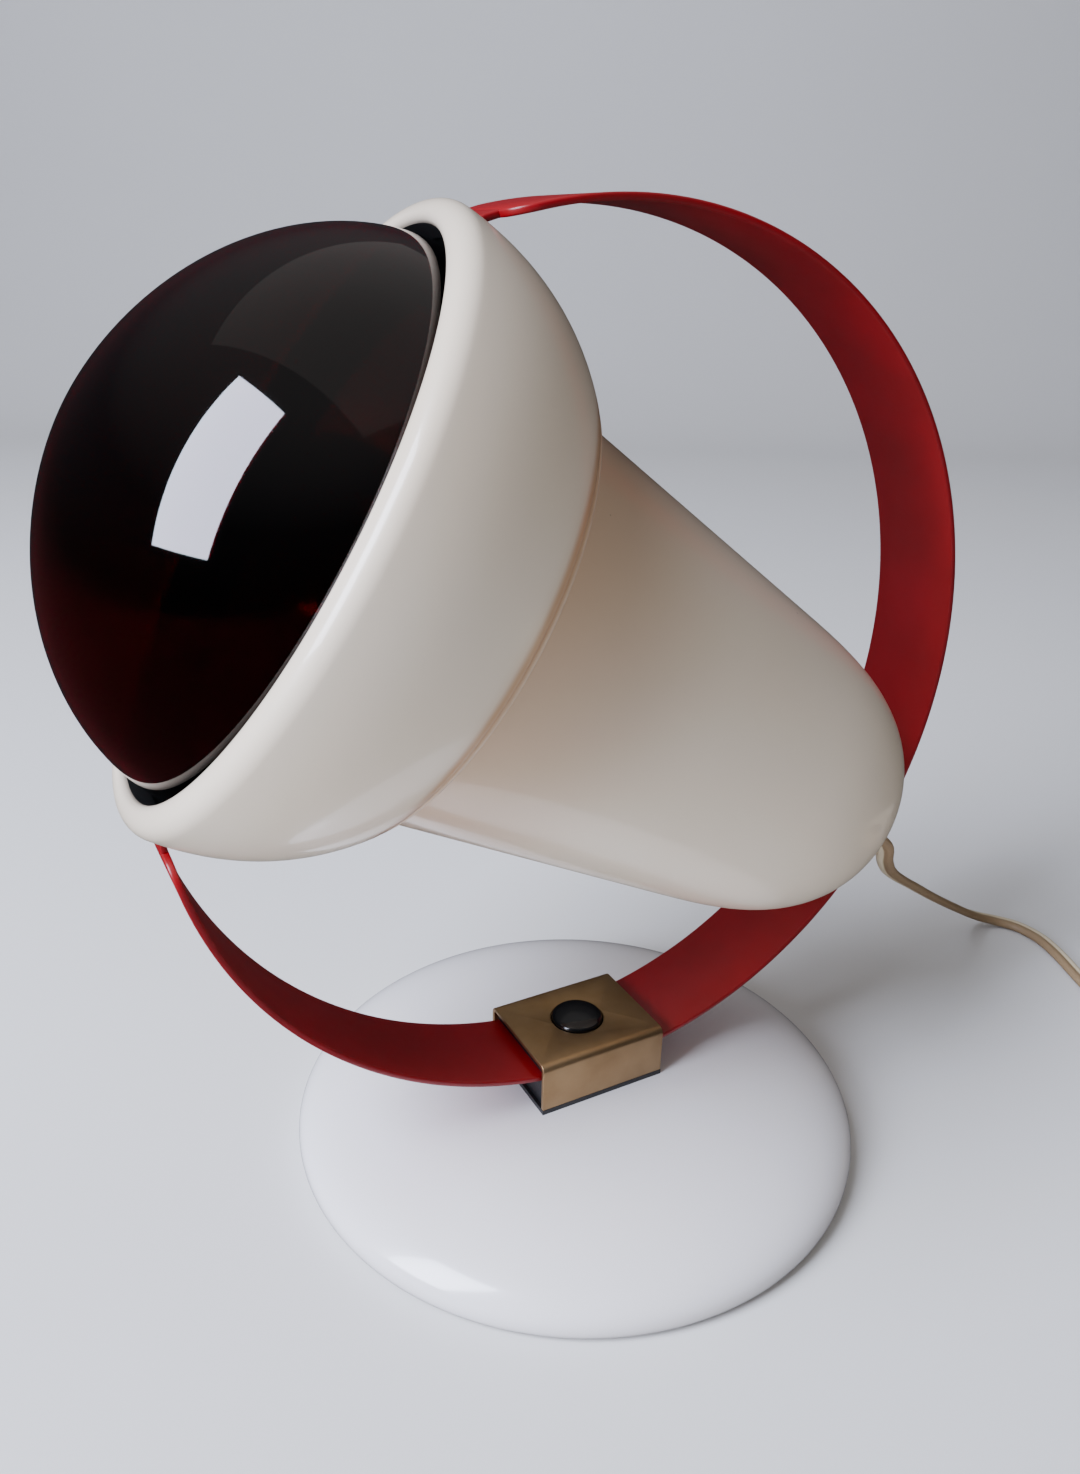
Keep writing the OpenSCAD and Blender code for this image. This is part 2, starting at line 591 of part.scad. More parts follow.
// Steel strip that carries the lampholder on the housing's two columns
module holder_bracket() color("silver") head_frame() translate([0, 0, bracket_back_a])
    linear_extrude(bracket_t) difference() {
        union() {
            square([bracket_w, bracket_pitch], center = true);
            for (s = [-1, 1]) translate([0, s * bracket_pitch / 2]) circle(d = column_d + 1);
        }
        circle(r = nipple_r + 0.15);
        for (s = [-1, 1]) translate([0, s * bracket_pitch / 2]) circle(d = 3.2);
    }

module holder_nut() color("gold") head_frame() translate([0, 0, bracket_back_a - nut_t]) difference() {
    cylinder(h = nut_t, d = 17, $fn = 6);
    translate([0, 0, -1]) cylinder(h = nut_t + 2, r = nipple_r);
}

module bracket_screws() color("silver") head_frame() both_ends() translate([0, bracket_pitch / 2, 0]) {
    translate([0, 0, bracket_back_a + bracket_t]) cylinder(h = 1.8, d = screw_head_d);
    translate([0, 0, bracket_back_a - screw_l]) cylinder(h = screw_l + bracket_t + eps, d = screw_d);
}

// Two-pole connector behind the bracket
module terminal_block() color("whitesmoke") head_frame() difference() {
    translate([-7, lead_y - 10, block_back_a]) cube([14, 12.5, block_l]);
    for (x = [-3.5, 3.5]) translate([x, lead_y - 3.8, block_back_a + 3]) rotate([-90, 0, 0]) cylinder(h = 10, d = 3);
}

// Two wires that loop from the connector into the lampholder's nipple
module inner_wires() color("gray") head_frame() for (x = [-wire_x, wire_x]) translate([x, wire_y / 2, block_back_a]) {
    rotate([0, 90, 0]) rotate([0, 0, -90]) rotate_extrude(angle = 180) translate([wire_y / 2, 0]) circle(r = wire_r);
    translate([0, -wire_y / 2, 0]) cylinder(h = block_l + 2, r = wire_r);
}

// Sections of an oval tube swept along the points p, its width lying across ref and the path
function tangent(p, i) = unit(p[min(i + 1, len(p) - 1)] - p[max(i - 1, 0)]);
function section(p, i, ref, w, h, n) = let (t = tangent(p, i), s = unit(cross(ref, t)), u = cross(t, s))
    [for (k = [0:n - 1]) let (a = 360 * (k + 0.5) / n) p[i] + s * w / 2 * cos(a) + u * h / 2 * sin(a)];
module swept(p, ref, w, h, n) {
    rings = len(p);
    points = [for (i = [0:rings - 1]) each section(p, i, ref, w, h, n)];
    walls = [for (i = [0:rings - 2], k = [0:n - 1]) let (a = i * n + k, b = i * n + (k + 1) % n)
        each [[a, b, a + n], [b, b + n, a + n]]];
    first = [for (k = [1:n - 2]) [0, k + 1, k]];
    last = [for (k = [1:n - 2]) (rings - 1) * n * [1, 1, 1] + [0, k, k + 1]];
    polyhedron(points = points, faces = concat(walls, first, last));
}
// Point on a smooth curve through p, between its points i and i + 1
function pick(p, i) = p[max(0, min(len(p) - 1, i))];
function spline(p, i, x) = let (a = pick(p, i - 1), b = pick(p, i), c = pick(p, i + 1), d = pick(p, i + 2))
    0.5 * (2 * b + (c - a) * x + (2 * a - 5 * b + 4 * c - d) * x * x + (3 * b - a - 3 * c + d) * x * x * x);
function smooth(p, k) = concat([for (i = [0:len(p) - 2], j = [0:k - 1]) spline(p, i, j / k)], [p[len(p) - 1]]);
function run_length(p) = len(p) < 2 ? 0 : [for (i = 1, s = norm(p[1] - p[0]); i < len(p);
    i = i + 1, s = s + (i < len(p) ? norm(p[i] - p[i - 1]) : 0)) s][len(p) - 2];

// Cord inside the housing, from the gland to the connector
module inner_lead() color("wheat") head_frame() swept(smooth([[0, 0, gland_end_a + 1], [0, 0, tail_end_a + 5.5],
    [0, 2.5, lead_turn_a - 1], [0, lead_y - 6, lead_turn_a + 1], [0, lead_y - 0.5, lead_turn_a + 5],
    [0, lead_y, block_back_a - 2.5], [0, lead_y, block_back_a]], 3), [0, 1, 0], cord_w - 0.2, cord_h - 0.2, 8);

// Rubber gland with a flange on each side of the housing's wall
module gland_slot() {
    square([cord_w - cord_h, cord_h + 0.1], center = true);
    for (s = [-1, 1]) translate([s * (cord_w - cord_h) / 2, 0]) circle(d = cord_h + 0.1);
}
module cord_gland() color("wheat") head_frame() difference() {
    rotate_extrude() polygon([[0, gland_end_a], [3.7, gland_end_a], [4.8, tail_end_a - 1.6], [6.4, tail_end_a - 1.6],
        [6.4, tail_end_a - 0.1], [gland_hole_d / 2 - 0.05, tail_end_a - 0.1],
        [gland_hole_d / 2 - 0.05, tail_end_a + head_wall + 0.3], [6, tail_end_a + head_wall + 0.3],
        [6, tail_end_a + head_wall + 1.8], [4.4, tail_end_a + head_wall + 2], [4.2, tail_end_a + 6.5],
        [0, tail_end_a + 6.5]]);
    translate([0, 0, gland_end_a - 1]) linear_extrude(gland_out + 12) gland_slot();
}

// The gland's end and the way the cord leaves it, in the lamp's frame
function turn_x(v, a) = [v[0], v[1] * cos(a) - v[2] * sin(a), v[1] * sin(a) + v[2] * cos(a)];
function turn_y(v, a) = [v[0] * cos(a) + v[2] * sin(a), v[1], v[2] * cos(a) - v[0] * sin(a)];
function head_place(v) = turn_x(turn_y(v, -head_turn) + [0, 0, pivot_t], 90 - head_tilt) + [0, 0, ring_z];
cord_start = head_place([0, 0, gland_end_a - cord_gap]);
cord_start_2 = head_place([0, 0, gland_end_a - cord_gap - 3.5]);
// Route from the gland down to the table and along it
lead_route = [[17.5, 92, 75.5], [13, 98, 66.5], [7, 107, 57.5], [1.5, 118, 49], [-3, 131, 40], [-7, 145.5, 30],
    [-11, 160, 20.5], [-15, 174, 11.5], [-17, 184.5, 5.5], [-15.5, 192.5, 2.4], [-9.5, 198, 1.45], [0, 199, 1.45],
    [10, 196.5, 1.45], [20, 192.5, 1.45], [32, 187.5, 1.6], [43, 183, 1.9]];
function coil_place(t) = let (p = t - 2 * layer_turns * floor(t / (2 * layer_turns)),
        r = coil_r - coil_pitch * (p <= layer_turns ? p : 2 * layer_turns - p),
        climbed = ease((t - layer_turns) * 2 + 0.5) + ease((t - 2 * layer_turns) * 2 + 0.5)
            + ease((t - 3 * layer_turns) * 2 + 0.5), a = coil_start + 360 * t)
    [coil_c[0] + r * cos(a), coil_c[1] + r * sin(a), coil_z + coil_rise * climbed];
coil_steps = round(coil_turns * loop_rings);
coil_in = coil_place(0) - cord_w * unit(coil_place(0.01) - coil_place(0));
coil_out = coil_place(coil_turns) + cord_w * unit(coil_place(coil_turns) - coil_place(coil_turns - 0.01));
coil_points = concat([coil_in], [for (i = [0:coil_steps]) coil_place(coil_turns * i / coil_steps)], [coil_out]);
coil_way_in = unit(coil_place(0) - coil_in);
lead_points = concat([cord_start], smooth(concat([cord_start_2], lead_route, [coil_in - 4 * coil_way_in]), 2),
    [coil_in]);
// Route from the coil to the plug
end_way = unit(coil_out - coil_place(coil_turns));
plug_entry = [plug_x, plug_y, plug_t / 2];
end_points = concat([coil_out], smooth([coil_out + 3 * end_way, [101, 247, 10.6], [95.5, 257.5, 9.3],
    [87, 265.5, 8.1], [77, 270, 7.2], plug_entry + [3, 0, 0]], 2), [plug_entry]);

// Least gap between two stretches of the coil, measured across the oval sections of its points
function oval_gap(a, b) = let (v = b - a, l = norm(v))
    max([for (k = [0:11]) let (e = 15 * k, r = norm([v[0], v[1]]))
        r * cos(e) + abs(v[2]) * sin(e) - 2 * norm([cord_w / 2 * cos(e), cord_h / 2 * sin(e)])]);
coil_least_gap = min([for (i = [0:len(coil_points) - 13], j = [i + 12:len(coil_points) - 1])
    if (norm(coil_points[j] - coil_points[i]) < 3 * cord_w) oval_gap(coil_points[i], coil_points[j])]);
cord_length = run_length(lead_points) + run_length(coil_points) + run_length(end_points);
echo(coil_least_gap = coil_least_gap, cord_length = cord_length, coil = run_length(coil_points));

module cord_lead() color("wheat") swept(lead_points, [0, 0, 1], cord_w, cord_h, 8);
module cord_coil() color("wheat") swept(coil_points, [0, 0, 1], cord_w, cord_h, 6);
module cord_end() color("wheat") swept(end_points, [0, 0, 1], cord_w, cord_h, 8);

// Flat tie round all turns of the coil
module coil_tie() color("white") {
    inner = coil_pitch * layer_turns + cord_w + 0.8;
    high = coil_rise * (coil_layers - 1) + cord_h + 0.4;
    middle = coil_r - coil_pitch * layer_turns / 2;
    translate([coil_c[0], coil_c[1], 0]) rotate([0, 0, 200]) translate([middle, 0, 0]) difference() {
        translate([-inner / 2 - tie_t, -2, 0]) cube([inner + 2 * tie_t, 4, high + 2 * tie_t]);
        translate([-inner / 2, -3, tie_t]) cube([inner, 6, high]);
    }
}

// Flat two-pin plug with a tapering cord end
boot_l = 12;
module plug_outline() {
    r = 4;
    translate([-plug_l, -plug_w / 2 + r]) square([plug_l - r, plug_w - 2 * r]);
    translate([-plug_l, -plug_w / 2]) square([plug_l / 2, plug_w]);
    for (s = [-1, 1]) {
        translate([-r, s * (plug_w / 2 - r - 3)]) circle(r = r);
        translate([-plug_l / 2, s * (plug_w / 2 - r)]) circle(r = r);
    }
    polygon([[-plug_l / 2, -plug_w / 2], [-r + 1.6, -plug_w / 2 + r - 0.6], [0, -plug_w / 2 + r + 3],
        [0, plug_w / 2 - r - 3], [-r + 1.6, plug_w / 2 - r + 0.6], [-plug_l / 2, plug_w / 2]]);
}
module plug_side() {
    r = 3;
    translate([-plug_l, 0]) square([plug_l - r, plug_t]);
    translate([-r - 1, r]) square([r + 1, plug_t - 2 * r]);
    for (z = [r, plug_t - r]) translate([-r, z]) circle(r = r);
}
module plug_body() color("wheat") {
    translate([plug_x - boot_l, plug_y, 0]) intersection() {
        linear_extrude(plug_t) plug_outline();
        translate([0, plug_w / 2, 0]) rotate([90, 0, 0]) linear_extrude(plug_w) plug_side();
    }
    translate([plug_x, plug_y, plug_t / 2]) rotate([0, -90, 0]) rotate_extrude() polygon(concat([[0, 0]],
        [for (i = [0:3]) each [[3.4 + i * 0.35, i * 3], [3.4 + i * 0.35, i * 3 + 1.6],
        [2.9 + i * 0.35, i * 3 + 1.9], [2.9 + i * 0.35, i * 3 + 2.7]]], [[4.6, boot_l], [4.6, boot_l + 2], [0, boot_l + 2]]));
}

module plug_pins() color("silver") for (s = [-1, 1])
    translate([plug_x - boot_l - plug_l, plug_y + s * pin_pitch / 2, plug_t / 2]) rotate([0, -90, 0]) {
        cylinder(h = pin_l - 1.5, d = 4);
        translate([0, 0, pin_l - 1.5]) cylinder(h = 1.5, d1 = 4, d2 = 2.6);
    }

base_shell();
base_weight();
base_plate();
foot_pad();
clamp_bolt();
bolt_washer();
clamp_block();
strap_leaf();
strap_guide();
clamp_cover();
button_spring();
release_button();
ring_strap();
pivot_rivets();
pivot_washers();
hood();
heat_shield();
rear_housing();
retaining_ring();
bulb_glass();
bulb_cap();
bulb_contact();
filament_mount();
lamp_holder();
holder_sleeve();
holder_contact();
holder_bracket();
holder_nut();
bracket_screws();
terminal_block();
inner_wires();
inner_lead();
cord_gland();
cord_lead();
cord_coil();
cord_end();
coil_tie();
plug_body();
plug_pins();
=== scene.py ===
import math

import bmesh
import bpy
from mathutils import Matrix, Vector


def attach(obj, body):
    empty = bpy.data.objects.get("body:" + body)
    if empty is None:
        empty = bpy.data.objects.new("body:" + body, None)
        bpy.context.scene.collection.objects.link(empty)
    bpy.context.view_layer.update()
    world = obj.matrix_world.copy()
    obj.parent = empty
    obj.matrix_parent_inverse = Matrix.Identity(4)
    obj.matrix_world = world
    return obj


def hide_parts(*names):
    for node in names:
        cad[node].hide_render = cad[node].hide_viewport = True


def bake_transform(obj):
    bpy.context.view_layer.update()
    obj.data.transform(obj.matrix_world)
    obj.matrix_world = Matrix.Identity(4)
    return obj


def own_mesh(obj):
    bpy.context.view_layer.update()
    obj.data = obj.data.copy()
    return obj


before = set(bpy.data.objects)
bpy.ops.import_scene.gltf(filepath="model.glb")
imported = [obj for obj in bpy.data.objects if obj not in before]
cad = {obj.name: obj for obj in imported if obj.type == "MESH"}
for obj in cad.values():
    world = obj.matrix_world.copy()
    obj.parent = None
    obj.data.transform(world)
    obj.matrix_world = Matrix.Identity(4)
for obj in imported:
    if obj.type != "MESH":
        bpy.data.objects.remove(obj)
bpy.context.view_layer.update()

MM = 0.001

# Sizes of the lamp in mm, the same as in its CAD source
RING_R = 109.0
RING_Z = 135.5
STRAP_T = 1.6
STRAP_W = 27.6
NECK_W = 14.0
NECK_L = 3.0
FOLD_R = 2.0
BASE_R = 79.0
BASE_H = 18.0
SEAT_R = 27.0
EDGE_Z = 4.5
RIM_Z = 0.8
BASE_WALL = 1.2
COVER_W = 31.0
COVER_L = 38.0
COVER_T = 1.2
COVER_BEND = 2.0
FLANGE_Z = 19.4
COVER_TOP = 33.6
BUTTON_R = 7.2
BUTTON_TOP = 35.8
TILT = 32.0
TURN = 5.5
PIVOT_T = 72.952
TAB_Y = 66.75
TAB_MID_Y = TAB_Y + STRAP_T / 2
RECESS_R = 13.0
RECESS_Y = 66.3
OPEN_R = 63.9
HOOD_R = 70.2
LIP_A = 19.4
FULL_A = 14.8
LIP_INNER_R = 1.7
LIP_OUTER_R = 4.6
HOOD_BACK_A = -24.2
HOOD_CURVE_L = 59.0
HEAD_WALL = 2.2
BEAD_W = 2.8
GROOVE = 0.6
WEB_A = HOOD_BACK_A + 2.6
TAIL_R = HOOD_R * (1 - ((FULL_A - HOOD_BACK_A) / HOOD_CURVE_L) ** 2.2) ** (1 / 2.2) - 5.1
TAIL_TAPER = 0.109
TAIL_END_L = 53.5
TAIL_END_A = -161.852
TAIL_CONE_A = TAIL_END_A + TAIL_END_L
TAIL_CONE_R = TAIL_R - TAIL_TAPER * (HOOD_BACK_A - TAIL_CONE_A)
GLAND_END_A = TAIL_END_A - 9.2
BULB_R = 62.5
DOME_H = 50.6
BULB_A = 9.5
BULB_BACK_L = 80.0
BULB_NECK_R = 20.0
GLASS_T = 1.2
SPRING_FOOT = 30.25
SPRING_TOP = 31.45
CORD_W = 5.2
COIL_CENTRE = (70.0, 215.0)
COIL_R = 37.0
COIL_TURNS = 7.3888
LAYER_TURNS = 1.8472
COIL_PITCH = 5.8
COIL_RISE = 3.3
COIL_Z = 2.0
COIL_START = -105.0
PLUG = (66.0, 271.0)
PLUG_T = 13.7

# The ring's frame and the head's frame, in metres
RING_FRAME = Matrix.Translation((0, 0, RING_Z * MM)) @ Matrix.Rotation(math.radians(90 - TILT), 4, "X")
HEAD_FRAME = (RING_FRAME @ Matrix.Translation((0, 0, PIVOT_T * MM))
              @ Matrix.Rotation(math.radians(-TURN), 4, "Y"))


# The photo's camera, fitted to the lamp's outlines: place in mm, angles in degrees
CAMERA_AT = (229.435, -139.372, 234.240)
CAMERA_AZIMUTH = 61.283
CAMERA_ELEVATION = 23.166
CAMERA_ROLL = 1.126
CAMERA_LENS = 28.086


# ---------------------------------------------------------------- camera
def place_camera(location, azimuth, elevation, roll, lens):
    """Camera that looks back along its azimuth and elevation, as an orbit round the lamp gives them."""
    a, e = math.radians(azimuth), math.radians(elevation)
    back = Vector((math.sin(a) * math.cos(e), -math.cos(a) * math.cos(e), math.sin(e)))
    right = (-back).cross(Vector((0, 0, 1))).normalized()
    up = right.cross(-back)
    turn = Matrix((right, up, back)).transposed() @ Matrix.Rotation(math.radians(roll), 3, "Z")
    data = bpy.data.cameras.new("photo_camera")
    data.sensor_fit = "AUTO"
    data.sensor_width = 36.0
    data.lens = lens
    data.clip_start = 0.01
    data.clip_end = 20.0
    camera = bpy.data.objects.new("photo_camera", data)
    camera.matrix_world = Matrix.Translation(Vector(location) * MM) @ turn.to_4x4()
    bpy.context.scene.collection.objects.link(camera)
    bpy.context.scene.camera = camera


place_camera(CAMERA_AT, CAMERA_AZIMUTH, CAMERA_ELEVATION, CAMERA_ROLL, CAMERA_LENS)


# ---------------------------------------------------------------- mesh helpers
def show(name, mesh, place=None, edge_angle=32.0):
    """Links a finished mesh as an object at the origin, with its place in its mesh."""
    if place is not None:
        mesh.transform(place)
    mesh.shade_smooth()
    mesh.set_sharp_from_angle(angle=math.radians(edge_angle))
    piece = bpy.data.objects.new(name, mesh)
    bpy.context.scene.collection.objects.link(piece)
    return piece


def mesh_of(work, name):
    """Turns a bmesh in mm into a mesh in metres with its faces outwards."""
    bmesh.ops.remove_doubles(work, verts=work.verts, dist=1e-5)
    bmesh.ops.recalc_face_normals(work, faces=work.faces)
    bmesh.ops.scale(work, vec=(MM, MM, MM), verts=work.verts)
    mesh = bpy.data.meshes.new(name)
    work.to_mesh(mesh)
    work.free()
    return mesh


def turned(name, profile, steps=144):
    """Closed profile of (radius, height) points in mm, turned round the Z axis."""
    work = bmesh.new()
    rows = []
    for r, z in profile:
        if r < 1e-6:
            rows.append([work.verts.new((0, 0, z))])
        else:
            angles = [math.tau * i / steps for i in range(steps)]
            rows.append([work.verts.new((r * math.cos(a), r * math.sin(a), z)) for a in angles])
    for low, high in zip(rows, rows[1:] + rows[:1]):
        if len(low) == 1 and len(high) == 1:
            continue
        for i in range(steps):
            j = (i + 1) % steps
            if len(low) == 1:
                work.faces.new((low[0], high[j], high[i]))
            elif len(high) == 1:
                work.faces.new((low[i], low[j], high[0]))
            else:
                work.faces.new((low[i], low[j], high[j], high[i]))
    return mesh_of(work, name)


def rings_to_mesh(name, rings):
    """Closed tube through equal rings of points in mm, with a face over each end."""
    work = bmesh.new()
    rows = [[work.verts.new(p) for p in ring] for ring in rings]
    count = len(rows[0])
    for low, high in zip(rows, rows[1:]):
        for i in range(count):
            j = (i + 1) % count
            work.faces.new((low[i], low[j], high[j], high[i]))
    work.faces.new(list(reversed(rows[0])))
    work.faces.new(rows[-1])
    return mesh_of(work, name)


def cut(piece, tool, operation="DIFFERENCE"):
    """Applies a boolean of two finished pieces and removes the tool."""
    step = piece.modifiers.new("cut", "BOOLEAN")
    step.object = tool
    step.operation = operation
    step.solver = "EXACT"
    bake(piece)
    bpy.data.objects.remove(tool)


def bake(piece):
    """Turns a piece's modifiers into plain mesh."""
    bpy.context.view_layer.update()
    graph = bpy.context.evaluated_depsgraph_get()
    mesh = bpy.data.meshes.new_from_object(piece.evaluated_get(graph), depsgraph=graph)
    piece.modifiers.clear()
    piece.data = mesh


def rounded(piece, width, segments=2, angle=40.0):
    """Rounds a piece's sharp edges by width, in mm."""
    step = piece.modifiers.new("rounding", "BEVEL")
    step.width = width * MM
    step.segments = segments
    step.limit_method = "ANGLE"
    step.angle_limit = math.radians(angle)
    step.harden_normals = False
    bake(piece)
    piece.data.shade_smooth()
    piece.data.set_sharp_from_angle(angle=math.radians(50))


def arc(cx, cy, r, a0, a1, count):
    """Points of a circle's arc from angle a0 to a1, in degrees."""
    return [(cx + r * math.cos(math.radians(a0 + (a1 - a0) * i / count)),
             cy + r * math.sin(math.radians(a0 + (a1 - a0) * i / count))) for i in range(count + 1)]


def quarter(r, length, power, count):
    """Points of a superellipse's quarter, from (r, 0) to (0, length)."""
    out = []
    for i in range(count + 1):
        a = math.pi / 2 * i / count
        out.append((0.0 if i == count else r * math.cos(a) ** (2 / power),
                    0.0 if i == 0 else length * math.sin(a) ** (2 / power)))
    return out


# ---------------------------------------------------------------- node trees
MATH = "ShaderNodeMath"
MAP = "ShaderNodeMapRange"


def colour(code):
    """Linear colour of an sRGB hex code."""
    parts = [int(code[i:i + 2], 16) / 255 for i in (0, 2, 4)]
    return tuple(p / 12.92 if p <= 0.04045 else ((p + 0.055) / 1.055) ** 2.4 for p in parts) + (1.0,)


def add(tree, kind, inputs=None, stops=(), **settings):
    """Adds a node with its settings. An input given as a socket, or as a node for its first output, gets linked.
    Stops are the places and sRGB hex codes along a colour band, its two ends first."""
    made = tree.nodes.new(kind)
    for key, value in settings.items():
        setattr(made, key, value)
    for key, value in (inputs or {}).items():
        if isinstance(value, bpy.types.Node):
            value = value.outputs[0]
        if isinstance(value, bpy.types.NodeSocket):
            tree.links.new(value, made.inputs[key])
        else:
            made.inputs[key].default_value = value
    for i, (place, code) in enumerate(stops):
        band = made.color_ramp.elements
        stop = band[i] if i < 2 else band.new(place)
        stop.position = place
        stop.color = colour(code)
    return made


def shape_tree(name, inputs):
    """Empty tree for a shape, with an input for each name, kind and first value; gives it and what it is given."""
    tree = bpy.data.node_groups.new(name, "GeometryNodeTree")
    tree.interface.new_socket("Geometry", in_out="INPUT", socket_type="NodeSocketGeometry")
    tree.interface.new_socket("Geometry", in_out="OUTPUT", socket_type="NodeSocketGeometry")
    for label, kind, value in inputs + [("Material", "Material", None)]:
        socket = tree.interface.new_socket(label, in_out="INPUT", socket_type="NodeSocket" + kind)
        if value is not None:
            socket.default_value = value
    return tree, add(tree, "NodeGroupInput").outputs


def end_tree(tree, given, shape):
    """Ends a shape's tree: copies made real, and its material set."""
    real = add(tree, "GeometryNodeRealizeInstances", {"Geometry": shape})
    coated = add(tree, "GeometryNodeSetMaterial", {"Geometry": real, "Material": given["Material"]})
    add(tree, "NodeGroupOutput", {"Geometry": coated})
    return tree


def shaped(name, tree, values, mesh=None, place=None, edge_angle=32.0):
    """Runs a shape's tree with its inputs set by their identifiers, and links the result as a plain mesh."""
    mesh = mesh or bpy.data.meshes.new(name)
    piece = bpy.data.objects.new(name, mesh)
    bpy.context.scene.collection.objects.link(piece)
    step = piece.modifiers.new("shape", "NODES")
    step.node_group = tree
    for socket in tree.interface.items_tree:
        if socket.in_out == "INPUT" and socket.name in values:
            step[socket.identifier] = values[socket.name]
    bake(piece)
    if place is not None:
        piece.data.transform(place)
    piece.data.shade_smooth()
    piece.data.set_sharp_from_angle(angle=math.radians(edge_angle))
    return piece


def round_copies_tree():
    """Copies of the piece's own mesh, set evenly round the local Z axis."""
    tree, given = shape_tree("round_copies", [("Count", "Int", 2)])
    spots = add(tree, "GeometryNodeMeshLine", {"Count": given["Count"], "Offset": (0.0, 0.0, 0.0)})
    turn = add(tree, MATH, {0: math.tau, 1: given["Count"]}, operation="DIVIDE")
    angle = add(tree, MATH, {0: add(tree, "GeometryNodeInputIndex"), 1: turn}, operation="MULTIPLY")
    way = add(tree, "ShaderNodeCombineXYZ", {"Z": angle})
    copies = add(tree, "GeometryNodeInstanceOnPoints",
                 {"Points": spots, "Instance": given["Geometry"], "Rotation": way})
    return end_tree(tree, given, copies)


def rib_stack_tree():
    """Rounded ribs one behind the other along local Z, from a first radius to a last radius."""
    tree, given = shape_tree("rib_stack", [("Count", "Int", 4), ("Spacing", "Float", 0.003),
                                           ("First radius", "Float", 0.004), ("Last radius", "Float", 0.005),
                                           ("Bead radius", "Float", 0.0007)])
    step = add(tree, "ShaderNodeCombineXYZ", {"Z": given["Spacing"]})
    spots = add(tree, "GeometryNodeMeshLine", {"Count": given["Count"], "Offset": step})
    last = add(tree, MATH, {0: given["Count"], 1: 1.0}, operation="SUBTRACT")
    part = add(tree, MATH, {0: add(tree, "GeometryNodeInputIndex"), 1: last}, operation="DIVIDE")
    growth = add(tree, MATH, {0: given["Last radius"], 1: given["First radius"]}, operation="SUBTRACT")
    grown = add(tree, MATH, {0: part, 1: growth}, operation="MULTIPLY")
    radius = add(tree, MATH, {0: given["First radius"], 1: grown}, operation="ADD")
    wide = add(tree, MATH, {0: radius, 1: given["First radius"]}, operation="DIVIDE")
    size = add(tree, "ShaderNodeCombineXYZ", {"X": wide, "Y": wide, "Z": 1.0})
    ring = add(tree, "GeometryNodeCurvePrimitiveCircle", {"Resolution": 64, "Radius": given["First radius"]})
    bead = add(tree, "GeometryNodeCurvePrimitiveCircle", {"Resolution": 16, "Radius": given["Bead radius"]})
    rib = add(tree, "GeometryNodeCurveToMesh", {"Curve": ring, "Profile Curve": bead})
    ribs = add(tree, "GeometryNodeInstanceOnPoints", {"Points": spots, "Instance": rib, "Scale": size})
    return end_tree(tree, given, ribs)


